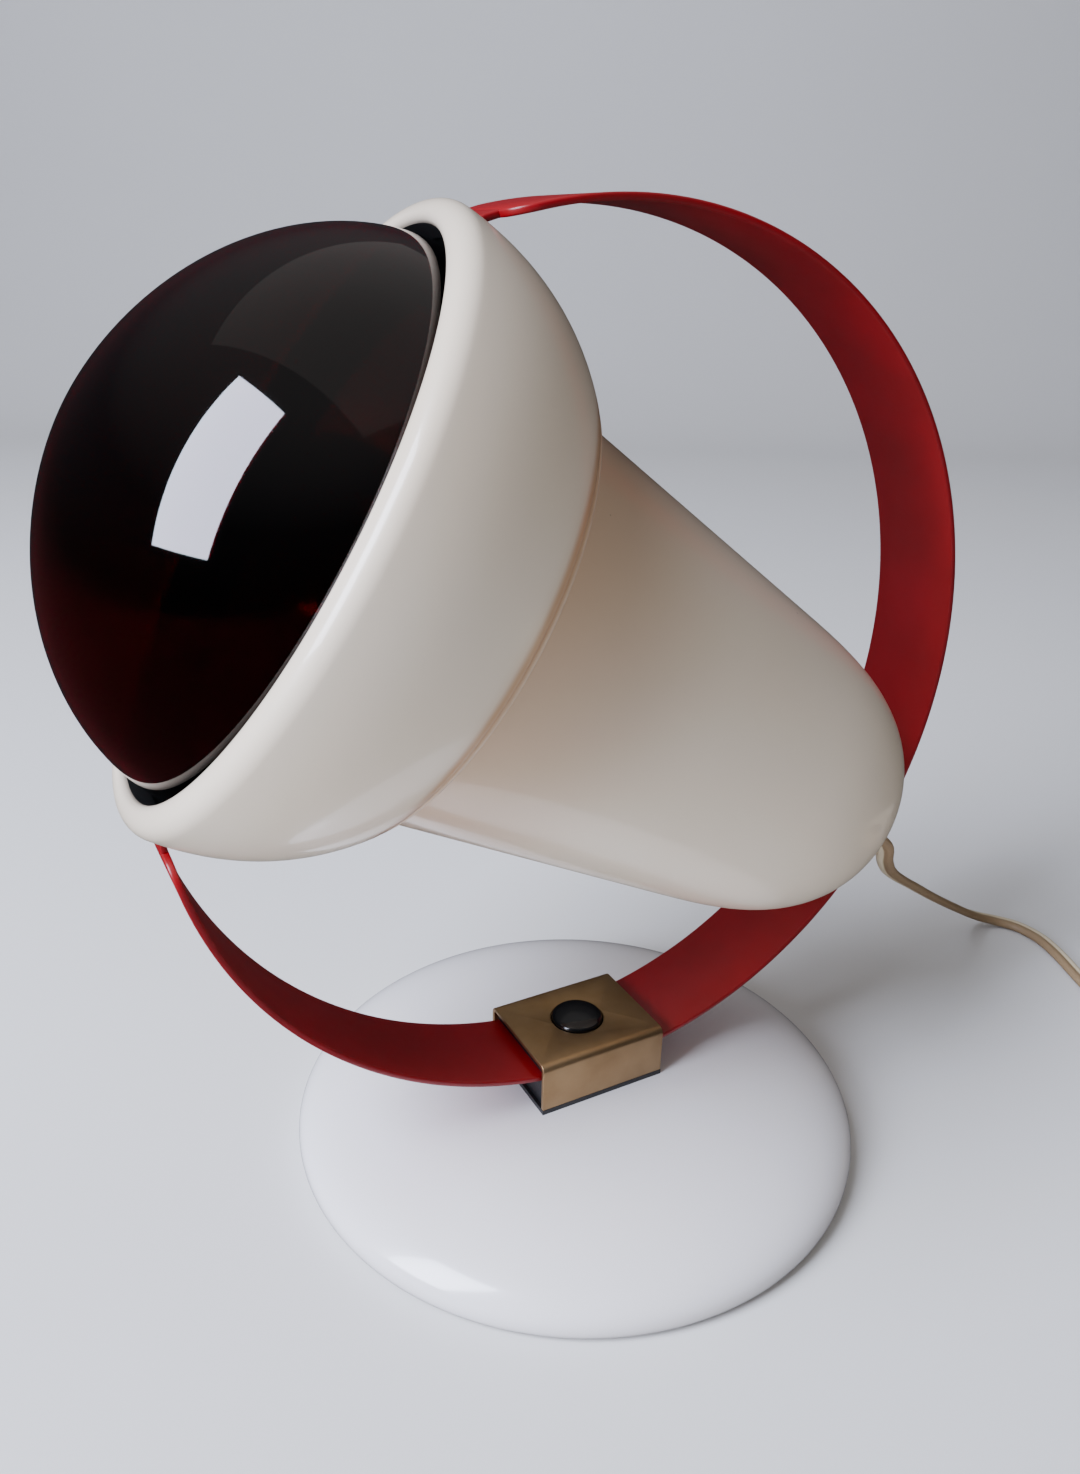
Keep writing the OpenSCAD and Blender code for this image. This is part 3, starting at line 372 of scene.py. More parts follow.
def pressed_dome_tree():
    """Sheet pressed to a flat seat, a superelliptic shoulder and a turned-in rim, with a bolt hole."""
    lengths = ["Radius", "Height", "Edge height", "Seat radius", "Hole radius", "Rim height", "Rim inset", "Sheet"]
    tree, given = shape_tree("pressed_dome", [(label, "Float", 0.01) for label in lengths]
                             + [("Power", "Float", 2.2), ("Steps along", "Int", 80), ("Steps around", "Int", 192)])
    grid = add(tree, "GeometryNodeMeshGrid", {"Size X": 1.0, "Size Y": 1.0, "Vertices X": given["Steps along"],
                                              "Vertices Y": given["Steps around"]})
    spot = add(tree, "ShaderNodeSeparateXYZ", {"Vector": add(tree, "GeometryNodeInputPosition")}).outputs
    along = add(tree, MATH, {0: spot["X"], 1: 0.5}, operation="ADD")
    around = add(tree, MATH, {0: spot["Y"], 1: 0.5}, operation="ADD")
    # the rule's angle runs from a quarter turn at the seat, through nothing at the widest line, to the rim
    ahead = add(tree, MATH, {0: 0.5, 1: along}, operation="SUBTRACT")
    angle = add(tree, MATH, {0: ahead, 1: math.pi}, operation="MULTIPLY")
    below = add(tree, MATH, {0: angle, 1: 0.0}, operation="LESS_THAN")
    power = add(tree, MATH, {0: 2.0, 1: given["Power"]}, operation="DIVIDE")
    share = {}
    for wave in ("COSINE", "SINE"):
        size = add(tree, MATH, {0: add(tree, MATH, {0: angle}, operation=wave)}, operation="ABSOLUTE")
        share[wave] = add(tree, MATH, {0: size, 1: power}, operation="POWER")
    rim = add(tree, MATH, {0: given["Radius"], 1: given["Rim inset"]}, operation="SUBTRACT")
    start = add(tree, "GeometryNodeSwitch", {"Switch": below, "False": given["Seat radius"], "True": rim},
                input_type="FLOAT")
    reach = add(tree, MATH, {0: given["Radius"], 1: start}, operation="SUBTRACT")
    out = add(tree, MATH, {0: share["COSINE"], 1: reach}, operation="MULTIPLY")
    wide = add(tree, MATH, {0: start, 1: out}, operation="ADD")
    top = add(tree, "GeometryNodeSwitch", {"Switch": below, "False": given["Height"], "True": given["Rim height"]},
              input_type="FLOAT")
    climb = add(tree, MATH, {0: top, 1: given["Edge height"]}, operation="SUBTRACT")
    rise = add(tree, MATH, {0: share["SINE"], 1: climb}, operation="MULTIPLY")
    height = add(tree, MATH, {0: given["Edge height"], 1: rise}, operation="ADD")
    first = add(tree, MATH, {0: along, 1: 1e-4}, operation="LESS_THAN")
    radius = add(tree, "GeometryNodeSwitch", {"Switch": first, "False": wide, "True": given["Hole radius"]},
                 input_type="FLOAT")
    turn = add(tree, MATH, {0: around, 1: math.tau}, operation="MULTIPLY")
    flat = [add(tree, MATH, {0: radius, 1: add(tree, MATH, {0: turn}, operation=wave)}, operation="MULTIPLY")
            for wave in ("COSINE", "SINE")]
    place = add(tree, "ShaderNodeCombineXYZ", {"X": flat[0], "Y": flat[1], "Z": height})
    bent = add(tree, "GeometryNodeSetPosition", {"Geometry": grid, "Position": place})
    closed = add(tree, "GeometryNodeMergeByDistance", {"Geometry": bent, "Distance": 1e-6})
    inward = add(tree, MATH, {0: given["Sheet"], 1: -1.0}, operation="MULTIPLY")
    inner = add(tree, "GeometryNodeExtrudeMesh", {"Mesh": closed, "Offset Scale": inward, "Individual": False})
    turned_over = add(tree, "GeometryNodeFlipFaces", {"Mesh": inner})
    both = add(tree, "GeometryNodeJoinGeometry", {"Geometry": closed})
    tree.links.new(turned_over.outputs[0], both.inputs[0])
    whole = add(tree, "GeometryNodeMergeByDistance", {"Geometry": both, "Distance": 1e-6})
    return end_tree(tree, given, whole)


round_copies = round_copies_tree()
rib_stack = rib_stack_tree()


# ---------------------------------------------------------------- cord
def smooth_route(points, count):
    """Smooth curve through points, with count steps between neighbours."""
    pts = [Vector(p) for p in points]
    out = []
    for i in range(len(pts) - 1):
        a, b, c, d = pts[max(i - 1, 0)], pts[i], pts[i + 1], pts[min(i + 2, len(pts) - 1)]
        for k in range(count):
            x = k / count
            out.append(0.5 * (2 * b + (c - a) * x + (2 * a - 5 * b + 4 * c - d) * x * x
                              + (3 * b - a - 3 * c + d) * x ** 3))
    return out + [pts[-1]]


def coil_point(t):
    """Point on the stored coil's centre line after t turns, in mm."""
    p = t % (2 * LAYER_TURNS)
    r = COIL_R - COIL_PITCH * (p if p <= LAYER_TURNS else 2 * LAYER_TURNS - p)
    climbed = 0.0
    for layer in (1, 2, 3):
        x = min(1.0, max(0.0, (t - layer * LAYER_TURNS) * 2 + 0.5))
        climbed += x * x * (3 - 2 * x)
    a = math.radians(COIL_START + 360 * t)
    return Vector((COIL_CENTRE[0] + r * math.cos(a), COIL_CENTRE[1] + r * math.sin(a),
                   COIL_Z + COIL_RISE * climbed))


def even(points, step):
    """The same line with points a step apart, in mm."""
    out, left = [points[0]], step
    for a, b in zip(points, points[1:]):
        gap = (b - a).length
        done = 0.0
        while gap - done >= left:
            done += left
            out.append(a.lerp(b, done / gap))
            left = step
        left -= gap - done
    if (out[-1] - points[-1]).length < step / 2:
        out.pop()
    return out + [points[-1]]


# Half outline of the flat two-core flex: two round cores in one skin, with a shallow valley between them
FLEX = [(2.6, 0), (2.44, 0.62), (2.0, 1.12), (1.35, 1.39), (0.75, 1.33), (0.3, 1.16), (0, 1.1)]
FLEX_OUTLINE = (FLEX + [(-x, y) for x, y in reversed(FLEX[:-1])]
                + [(-x, -y) for x, y in FLEX[1:]] + [(x, -y) for x, y in reversed(FLEX[1:-1])])


def flex(name, line):
    """Flat two-core flex along a line in mm, its wide side level; the attribute core runs across it."""
    rings = []
    for i, p in enumerate(line):
        along = (line[min(i + 1, len(line) - 1)] - line[max(i - 1, 0)]).normalized()
        side = Vector((0, 0, 1)).cross(along).normalized()
        up = along.cross(side)
        rings.append([p + side * x * 0.995 + up * y * 0.99 for x, y in FLEX_OUTLINE])
    mesh = rings_to_mesh(name, rings)
    core = mesh.attributes.new("core", "FLOAT", "POINT")
    across = [x / (CORD_W / 2) for x, y in FLEX_OUTLINE]
    core.data.foreach_set("value", [across[i % len(across)] for i in range(len(mesh.vertices))])
    return show(name, mesh, edge_angle=60)


def head_point(a):
    """Point in mm on the head's axis."""
    return (HEAD_FRAME @ Vector((0, 0, a * MM))) / MM


cord_start = head_point(GLAND_END_A - 0.3)
coil_back = (coil_point(0.01) - coil_point(0)).normalized()
coil_in = coil_point(0) - CORD_W * coil_back
end_way = (coil_point(COIL_TURNS) - coil_point(COIL_TURNS - 0.01)).normalized()
coil_out = coil_point(COIL_TURNS) + CORD_W * end_way
# the first stretch's route points in mm, the same as in the CAD source
LEAD_ROUTE = [(17.5, 92, 75.5), (13, 98, 66.5), (7, 107, 57.5), (1.5, 118, 49), (-3, 131, 40),
              (-7, 145.5, 30), (-11, 160, 20.5), (-15, 174, 11.5), (-17, 184.5, 5.5), (-15.5, 192.5, 2.4),
              (-9.5, 198, 1.45), (0, 199, 1.45), (10, 196.5, 1.45), (20, 192.5, 1.45), (32, 187.5, 1.6),
              (43, 183, 1.9)]
lead_line = smooth_route([head_point(GLAND_END_A - 3.8)] + LEAD_ROUTE + [coil_in - 4 * coil_back], 6)
lead_line = even([cord_start] + lead_line + [coil_in], 2.5)
coil_line = [coil_point(COIL_TURNS * i / 400) for i in range(401)]
plug_entry = Vector((PLUG[0], PLUG[1], PLUG_T / 2))
end_line = smooth_route([coil_out + 3 * end_way, (101, 247, 10.6), (95.5, 257.5, 9.3), (87, 265.5, 8.1),
                         (77, 270, 7.2), plug_entry + Vector((3, 0, 0))], 6) + [plug_entry]

meet = min(range(len(lead_line)), key=lambda i: (lead_line[i] - Vector(LEAD_ROUTE[2])).length)
upper_line = lead_line[:meet + 1]
lower_line = lead_line[meet:] + coil_line + [coil_out] + end_line[1:]


cord_upper = flex("cord_upper", upper_line)
cord_lower = flex("cord_lower", lower_line)
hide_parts("cord_lead")
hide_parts("cord_coil", "cord_end")
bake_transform(cord_upper)
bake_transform(cord_lower)


# ---------------------------------------------------------------- base
base = shaped("base_dome", pressed_dome_tree(), {
    "Radius": (BASE_R - 0.06) * MM, "Height": BASE_H * MM, "Edge height": EDGE_Z * MM,
    "Seat radius": SEAT_R * MM, "Hole radius": 3.3 * MM, "Rim height": RIM_Z * MM, "Rim inset": 2.4 * MM,
    "Sheet": BASE_WALL * MM, "Power": 2.2})
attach(base, "stand")
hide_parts("base_shell")


# ---------------------------------------------------------------- clamp cover
def channel(half, top, bend, count):
    """Half of the bent sheet's outline, from its flange up and over to the middle."""
    return [(half, FLANGE_Z)] + arc(half - bend, top - bend, bend, 0, 90, count) + [(0, top)]


def cover_outline():
    """Closed outline of the bent sheet in X and Z."""
    out = channel(COVER_W / 2, COVER_TOP, COVER_BEND, 10)
    inn = channel(COVER_W / 2 - COVER_T, COVER_TOP - COVER_T, COVER_BEND - COVER_T, 8)
    return (out + [(-x, z) for x, z in reversed(out[:-1])]
            + [(-x, z) for x, z in inn] + list(reversed(inn[:-1])))


def prism(name, outline, y0, y1):
    """Outline in X and Z carried from y0 to y1, in mm."""
    work = bmesh.new()
    rows = [[work.verts.new((x, y, z)) for x, z in outline] for y in (y0, y1)]
    for i in range(len(outline)):
        j = (i + 1) % len(outline)
        work.faces.new((rows[0][i], rows[0][j], rows[1][j], rows[1][i]))
    work.faces.new(rows[0])
    work.faces.new(list(reversed(rows[1])))
    return mesh_of(work, name)


cover = show("clamp_channel", prism("clamp_channel", cover_outline(), -COVER_L / 2, COVER_L / 2))
drill = show("drill", turned("drill", [(0, 26), (7.45, 26), (7.45, 40), (0, 40)], 96))
cut(cover, drill)
rounded(cover, 0.22, 2, 35)
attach(cover, "stand")
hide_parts("clamp_cover")


# ---------------------------------------------------------------- button
dome = quarter(BUTTON_R, 2.2, 2.3, 16)
button = show("button_cap", turned("button_cap",
              [(0, 31.1), (4.4, 31.1), (4.5, 31.2), (4.5, 31.5), (8.6, 31.5), (8.7, 31.6), (8.7, 32.3),
               (BUTTON_R, 32.3)] + [(x, BUTTON_TOP - 2.2 + y) for x, y in dome], 96))
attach(button, "button")
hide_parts("release_button")
spring = show("spring_washer", turned("spring_washer", [(8.62, SPRING_FOOT), (8.66, SPRING_FOOT + 0.28),
                                                        (5.36, SPRING_TOP), (5.32, SPRING_TOP - 0.28)], 96))
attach(spring, "stand")
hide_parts("button_spring")
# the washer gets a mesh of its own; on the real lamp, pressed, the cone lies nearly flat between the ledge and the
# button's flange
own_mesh(spring)


# ---------------------------------------------------------------- strap ring
def strap_rings():
    """Cross-sections of the strap from one rivet's tab, round the ring, to the other tab."""
    mid = RING_R - 0.03 - STRAP_T / 2
    fold_c = mid - FOLD_R
    g = math.asin((TAB_MID_Y + FOLD_R) / fold_c)
    cy, cz = TAB_MID_Y + FOLD_R, fold_c * math.cos(g)
    half = []
    for i in range(13):
        x = math.sin(math.pi / 2 * i / 12) * NECK_W / 2
        tip = math.sqrt(max(0.0, (NECK_W / 2) ** 2 - x * x))
        half.append(((TAB_MID_Y, PIVOT_T - tip), (0, 1), max(x, 0.6)))
    half.append(((TAB_MID_Y, cz - 0.5), (0, 1), NECK_W / 2))
    for i in range(15):
        a = math.pi - (math.pi / 2 + g) * i / 14
        half.append(((cy + FOLD_R * math.cos(a), cz + FOLD_R * math.sin(a)), (math.sin(a), -math.cos(a)),
                     NECK_W / 2))
    corner = (STRAP_W - NECK_W) / 2
    along = NECK_L
    for i in range(1, 160):
        if along <= NECK_L + corner:
            x = corner - (NECK_L + corner - along)
            w = STRAP_W / 2 - corner + math.sqrt(max(0.0, corner ** 2 - (corner - x) ** 2))
            step = 0.35 + 0.09 * (along - NECK_L)
        else:
            w, step = STRAP_W / 2, 2.6
        a = g + along / mid
        if a > math.pi:
            break
        half.append(((mid * math.sin(a), mid * math.cos(a)), (math.cos(a), -math.sin(a)), w))
        along += step
    half.append(((0, -mid), (-1, 0), STRAP_W / 2))
    path = half + [((-y, z), (dy, -dz), w) for (y, z), (dy, dz), w in reversed(half[:-1])]
    rings = []
    soft = 0.45
    for i, ((y, z), (dy, dz), w) in enumerate(path):
        p = Vector((0, y, z))
        d = Vector((0, dy, dz)).normalized()
        n = Vector((0, -d.z, d.y))
        h = STRAP_T / 2
        outline = []
        for sx, sn in ((1, 1), (-1, 1), (-1, -1), (1, -1)):
            turn = [(w - soft, h), (w - 0.3 * soft, h - 0.3 * soft), (w, h - soft)]
            if sx * sn > 0:
                turn = turn[::-1]
            outline += [(sx * u, sn * v) for u, v in turn]
        rings.append([p + Vector((u, 0, 0)) + n * v for u, v in outline])
    return rings


strap = show("strap_ring", rings_to_mesh("strap_ring", strap_rings()), RING_FRAME, 50)
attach(strap, "ring")
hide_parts("ring_strap")


# ---------------------------------------------------------------- hood
def hood_at(a):
    """The hood's outer radius at a place on its axis."""
    return HOOD_R * (1 - ((FULL_A - a) / HOOD_CURVE_L) ** 2.2) ** (1 / 2.2)


def between(low, high, count, first=0):
    """Even steps from low to high."""
    return [low + (high - low) * i / count for i in range(first, count + 1)]


def hood_profile():
    """The hood's closed section: lip, side, groove and bead, web, and its inside."""
    out = arc(OPEN_R + LIP_INNER_R, LIP_A - LIP_INNER_R, LIP_INNER_R, 180, 95, 8)
    out += arc(HOOD_R - LIP_OUTER_R, FULL_A, LIP_OUTER_R, 90, 0, 16)
    end = HOOD_BACK_A + BEAD_W + 0.5
    out += [(hood_at(a), a) for a in between(FULL_A, end, 40, 1)]
    groove = HOOD_BACK_A + BEAD_W
    out += [(hood_at(groove + 0.2) - GROOVE * 0.8, groove + 0.2),
            (hood_at(groove - 0.1) - GROOVE, groove - 0.05)]
    for i in range(10):
        a = HOOD_BACK_A + (BEAD_W - 0.5) * (1 - i / 9)
        out.append((hood_at(a) - 1.6 * (i / 9) ** 3 - 0.25 * (1 - i / 9) ** 6, a))
    out += [(48.5, HOOD_BACK_A), (48.5, WEB_A), (hood_at(WEB_A) - HEAD_WALL - 0.8, WEB_A)]
    out += [(hood_at(a) - HEAD_WALL, a) for a in between(WEB_A + 1, FULL_A - 6, 24)]
    return out + [(OPEN_R, FULL_A - 2)]


def pad_tool(name, y0, y1, r, side):
    """Round bar across the head's axis at a pivot."""
    bar = turned(name, [(0, y0), (r, y0), (r, y1), (0, y1)], 96)
    bar.transform(Matrix.Rotation(math.radians(-90 * side), 4, "X"))
    return show(name, bar)


def block(name, low, high):
    """Plain box tool between two corners in mm."""
    corners = [(low[0], low[2]), (high[0], low[2]), (high[0], high[2]), (low[0], high[2])]
    return show(name, prism(name, corners, low[1], high[1]))


hood = show("hood_shell", turned("hood_shell", hood_profile(), 192))
for side in (1, -1):
    pad = pad_tool("pad", 64.1, 68.5, RECESS_R + 2.2, side)
    outline = hood_profile()[9:70]
    within = [(0, outline[0][1])] + [(r - 0.4, a) for r, a in outline] + [(0, HOOD_BACK_A)]
    cut(pad, show("hood_outline", turned("hood_outline", within, 144)), "INTERSECT")
    cut(hood, pad, "UNION")
    cut(hood, pad_tool("recess", RECESS_Y, 80, RECESS_R, side))
    low, high = sorted((side * RECESS_Y, side * 80))
    cut(hood, block("slot", (-RECESS_R, low, HOOD_BACK_A - 5), (RECESS_R, high, 0)))
hood.data.transform(HEAD_FRAME)
hood.data.shade_smooth()
hood.data.set_sharp_from_angle(angle=math.radians(35))
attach(hood, "head")
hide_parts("hood")


# ---------------------------------------------------------------- rear housing
def tail_curve(wall, count):
    """The housing's rounded end, a wall's thickness inside its outer face."""
    return [((TAIL_CONE_R - wall - TAIL_TAPER * TAIL_END_L * y) * x, TAIL_CONE_A - (TAIL_END_L - wall) * y)
            for x, y in quarter(1, 1, 3.1, count)]


def housing_profile():
    """The housing's closed section, open at the cord's hole."""
    out = [(46.5, HOOD_BACK_A - 0.5), (TAIL_R - 0.4, HOOD_BACK_A - 0.02), (TAIL_R - 0.02, HOOD_BACK_A - 0.4)]
    out += [p for p in tail_curve(0, 56) if p[0] > 4.5] + [(4.5, TAIL_END_A)]
    out += [(4.5, TAIL_END_A + HEAD_WALL)] + [p for p in reversed(tail_curve(HEAD_WALL, 40)) if p[0] > 4.5]
    return out + [(TAIL_R - HEAD_WALL, HOOD_BACK_A - 3), (46.5, HOOD_BACK_A - 1)]


housing = show("housing_shell", turned("housing_shell", housing_profile(), 192), HEAD_FRAME)
spigot = show("housing_spigot", turned("housing_spigot",
              [(46.5, HOOD_BACK_A - 1), (46.5, WEB_A + 2), (48.2, WEB_A + 2), (48.3, WEB_A + 1.8),
               (48.3, HOOD_BACK_A - 1)], 144), HEAD_FRAME)
for piece in (housing, spigot):
    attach(piece, "head")
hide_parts("rear_housing")
column = turned("column", [(0, -158), (4, -158), (4, -119.3), (3.6, -118.9), (0, -118.9)], 48)
column.transform(Matrix.Translation((0, 0.029, 0)))
column = show("column", column)
within = [(0, -108), (42, -108)] + [p for p in tail_curve(0.5, 40) if p[1] < -108.5]
cut(column, show("tail_outline", turned("tail_outline", within, 96)), "INTERSECT")
columns = shaped("housing_columns", round_copies, {"Count": 2}, column.data.copy(), HEAD_FRAME)
bpy.data.objects.remove(column)
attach(columns, "head")


# ---------------------------------------------------------------- bulb
def bulb_at(a):
    """The glass's outer radius behind its widest line."""
    x = (BULB_A - a) / BULB_BACK_L
    return BULB_NECK_R + (BULB_R - BULB_NECK_R) * (1 + math.cos(math.pi * x ** 0.8)) / 2


def bulb_curve(wall):
    """The front dome and the back of the glass, a wall's thickness inside its outer face."""
    front = [(x, BULB_A + y) for x, y in reversed(quarter(BULB_R - wall, DOME_H - 0.08 - wall, 1.9, 48))]
    back = [(bulb_at(a) - wall, a) for a in between(BULB_A, BULB_A - BULB_BACK_L, 48, 1)]
    return front, back


front, back = bulb_curve(0)
neck_a = BULB_A - BULB_BACK_L
front_in, back_in = bulb_curve(GLASS_T)
glass = show("ruby_bulb", turned("ruby_bulb",
             front + back + arc(16, neck_a, 4, 0, -40, 4)[1:]
             + [(13, neck_a - 7), (13, neck_a - 9.5), (4, neck_a - 9.5), (4, neck_a - 7.5),
                (11.8, neck_a - 7.5), (11.8, neck_a - 6)]
             + list(reversed(front_in + back_in)), 192), HEAD_FRAME, 60)
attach(glass, "head")
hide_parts("bulb_glass")
# the mirror lies on the glass's inside, from 6 mm behind its widest line to its neck
mirror_line = [(bulb_at(a) - GLASS_T - 0.15, a) for a in between(BULB_A - 6, BULB_A - 76, 40)]
mirror_line += [(r - 0.12, a) for r, a in reversed(mirror_line)]
mirror = show("bulb_mirror", turned("bulb_mirror", mirror_line, 144), HEAD_FRAME, 60)
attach(mirror, "head")


# ---------------------------------------------------------------- gland
gland = show("gland_sleeve", turned("gland_sleeve",
             [(2.75, GLAND_END_A + 0.2), (2.9, GLAND_END_A), (3.3, GLAND_END_A), (3.45, GLAND_END_A + 0.3),
              (4.2, TAIL_END_A - 2.2), (4.8, TAIL_END_A - 1.75), (5.9, TAIL_END_A - 1.6),
              (6.3, TAIL_END_A - 1.3), (6.35, TAIL_END_A - 0.3), (6.2, TAIL_END_A - 0.1),
              (4.4, TAIL_END_A - 0.1), (4.4, TAIL_END_A + 2.5), (6, TAIL_END_A + 2.5), (6, TAIL_END_A + 4),
               (4.3, TAIL_END_A + 4.2), (4.1, TAIL_END_A + 6.4),
              (2.75, TAIL_END_A + 6.4)], 64), HEAD_FRAME)
gland_ribs = shaped("gland_ribs", rib_stack, {"Count": 4, "Spacing": 1.8 * MM, "First radius": 3.15 * MM,
                                              "Last radius": 3.85 * MM, "Bead radius": 0.6 * MM},
                    None, HEAD_FRAME @ Matrix.Translation((0, 0, (GLAND_END_A + 0.75) * MM)))
for piece in (gland, gland_ribs):
    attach(piece, "head")
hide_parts("cord_gland")


# ---------------------------------------------------------------- plug
def plug_rings():
    """Cross-sections of the plug's moulding from its pin face to its shoulder, with a fine seam round it."""
    rings = []
    for i in range(33):
        x = 25 * (i / 32)
        if x < 12.5:
            wide = 12.95
        elif x < 22.6:
            wide = 12.95 - 3.4 * ((x - 12.5) / 10.1) ** 1.6
        else:
            wide = 9.55 - 3.6 * ((x - 22.6) / 2.4) ** 1.8
        ends = min(1.0, x / 1.6), min(1.0, (25 - x) / 3.0)
        soft = 1.5 * (1 - math.sqrt(1 - (1 - ends[0]) ** 2)) + 3.0 * (1 - math.sqrt(1 - (1 - ends[1]) ** 2))
        ring = []
        for k in range(96):
            a = math.tau * (k + 0.5) / 96
            c, d = math.cos(a), math.sin(a)
            seam = 0.18 if abs(d) < 0.05 else 0.0
            ring.append(Vector((PLUG[0] - 37 + x,
                                PLUG[1] + math.copysign(abs(c) ** 0.45, c) * (wide - soft * 0.7 - seam),
                                PLUG_T / 2 + math.copysign(abs(d) ** 0.6, d) * (PLUG_T / 2 - 0.03 - soft))))
        rings.append(ring)
    return rings


plug = show("plug_moulding", rings_to_mesh("plug_moulding", plug_rings()), None, 40)
boot_place = (Matrix.Translation(Vector((PLUG[0], PLUG[1], PLUG_T / 2)) * MM)
              @ Matrix.Rotation(math.radians(-90), 4, "Y"))
boot = show("plug_boot", turned("plug_boot", [(2.75, 0.1), (2.9, 0), (3.2, 0), (3.35, 0.3), (4.5, 12),
                                              (4.9, 13.6), (2.75, 13.6)], 64), boot_place)
boot_ribs = shaped("plug_boot_ribs", rib_stack, {"Count": 5, "Spacing": 2.4 * MM, "First radius": 3.05 * MM,
                                                 "Last radius": 4.0 * MM, "Bead radius": 0.7 * MM},
                   None, boot_place @ Matrix.Translation((0, 0, 0.9 * MM)))
for piece in (plug, boot, boot_ribs):
    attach(piece, "stand")
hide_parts("plug_body")


# ---------------------------------------------------------------- rivets
rivet_line = [(0, 63.15), (3.5, 63.15), (3.7, 63.4), (3.7, 64.1), (2.5, 64.1), (2.5, 68.42)]
rivet_line += [(x, 68.42 + y) for x, y in quarter(4.65, 0.85, 2.2, 8)]
rivet = turned("rivet", rivet_line, 48)
rivet.transform(Matrix.Rotation(math.radians(-90), 4, "X"))
rivets = shaped("pivot_rivet_pair", round_copies, {"Count": 2}, rivet, HEAD_FRAME)
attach(rivets, "head")
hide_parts("pivot_rivets")


# ---------------------------------------------------------------- materials
def every(size):
    """Scale of a pattern that repeats about every so many mm."""
    return 1000.0 / size


def new_material(name):
    """Empty material; gives it, its tree and the place on the piece that its patterns follow."""
    made = bpy.data.materials.new(name)
    made.use_nodes = True
    tree = made.node_tree
    tree.nodes.clear()
    return made, tree, add(tree, "ShaderNodeTexCoord").outputs["Object"]


def ivory(name, pale, warm, gloss, amber_at=None):
    """Glossy ivory: a faint orange peel in its highlights, and cloudy warmth where it has aged.
    Gloss is its least and most roughness; amber_at is the colour at the joint of hood and housing."""
    made, tree, spot = new_material(name)
    cloud = add(tree, "ShaderNodeTexNoise", {"Vector": spot, "Scale": every(62.5), "Detail": 1.0,
                                             "Roughness": 0.4})
    base = add(tree, "ShaderNodeValToRGB", {"Fac": cloud}, stops=((0.2, pale), (0.85, warm)))
    if amber_at:
        inverse = HEAD_FRAME.inverted()
        local = add(tree, "ShaderNodeMapping", {"Vector": spot, "Location": inverse.to_translation(),
                                                "Rotation": inverse.to_euler()})
        height = add(tree, "ShaderNodeSeparateXYZ", {"Vector": local}).outputs["Z"]
        # heat has ambered the moulding: over 8 mm of the hood and 54 mm of the housing
        near = add(tree, MAP, {"Value": height, "From Min": (HOOD_BACK_A + 9) * MM,
                               "From Max": (HOOD_BACK_A + 1) * MM}, interpolation_type="SMOOTHSTEP")
        past = add(tree, MAP, {"Value": height, "From Min": (HOOD_BACK_A - 55) * MM,
                               "From Max": (HOOD_BACK_A - 1) * MM}, interpolation_type="SMOOTHSTEP")
        both = add(tree, MATH, {0: near, 1: past}, operation="MULTIPLY")
        part = add(tree, MATH, {0: both, 1: 0.5}, operation="MULTIPLY")
        # and more in the groove beside the bead and 3 mm up the hood from it: partly the heat's amber, partly
        # painted shade in the crease
        above = add(tree, MATH, {0: height, 1: (HOOD_BACK_A + BEAD_W + 0.9) * MM}, operation="SUBTRACT")
        off = add(tree, MATH, {0: above}, operation="ABSOLUTE")
        groove = add(tree, MAP, {"Value": off, "From Min": 3.4 * MM, "From Max": 0.5 * MM, "To Max": 0.78},
                     interpolation_type="SMOOTHSTEP")
        most = add(tree, MATH, {0: part, 1: groove}, operation="MAXIMUM")
        # inputs 0, 6 and 7 are the colour mix's factor and its two colours, output 2 its result
        base = add(tree, "ShaderNodeMix", {0: most, 6: base, 7: colour(amber_at)}, data_type="RGBA").outputs[2]
    # a few pinholes and dust nibs, up to 0.5 mm, about 25 mm apart
    nibs = add(tree, "ShaderNodeTexVoronoi", {"Vector": spot, "Scale": every(25)})
    nib = add(tree, MAP, {"Value": nibs.outputs["Distance"], "From Min": 0.006, "From Max": 0.013,
                          "To Min": 0.45, "To Max": 1.0})
    speckled = add(tree, "ShaderNodeHueSaturation", {"Color": base, "Value": nib})
    # orange peel 2.5 mm across, drawn a little coarser than it is so that it shows in the highlights
    peel = add(tree, "ShaderNodeTexNoise", {"Vector": spot, "Scale": every(2.5), "Detail": 1.0})
    relief = add(tree, "ShaderNodeBump", {"Height": peel, "Strength": 0.05, "Distance": 0.0002})
    # hands and cloths have dulled it in patches 33 mm across
    handled = add(tree, "ShaderNodeTexNoise", {"Vector": spot, "Scale": every(33.3), "Detail": 2.0})
    rub = add(tree, MAP, {"Value": handled, "From Min": 0.3, "From Max": 0.75, "To Min": gloss[0],
                          "To Max": gloss[1]})
    shader = add(tree, "ShaderNodeBsdfPrincipled", {"Base Color": speckled, "Roughness": rub, "Normal": relief,
                                                    "IOR": 1.52, "Coat Weight": 0.5, "Coat Roughness": 0.07})
    add(tree, "ShaderNodeOutputMaterial", {"Surface": shader})
    return made


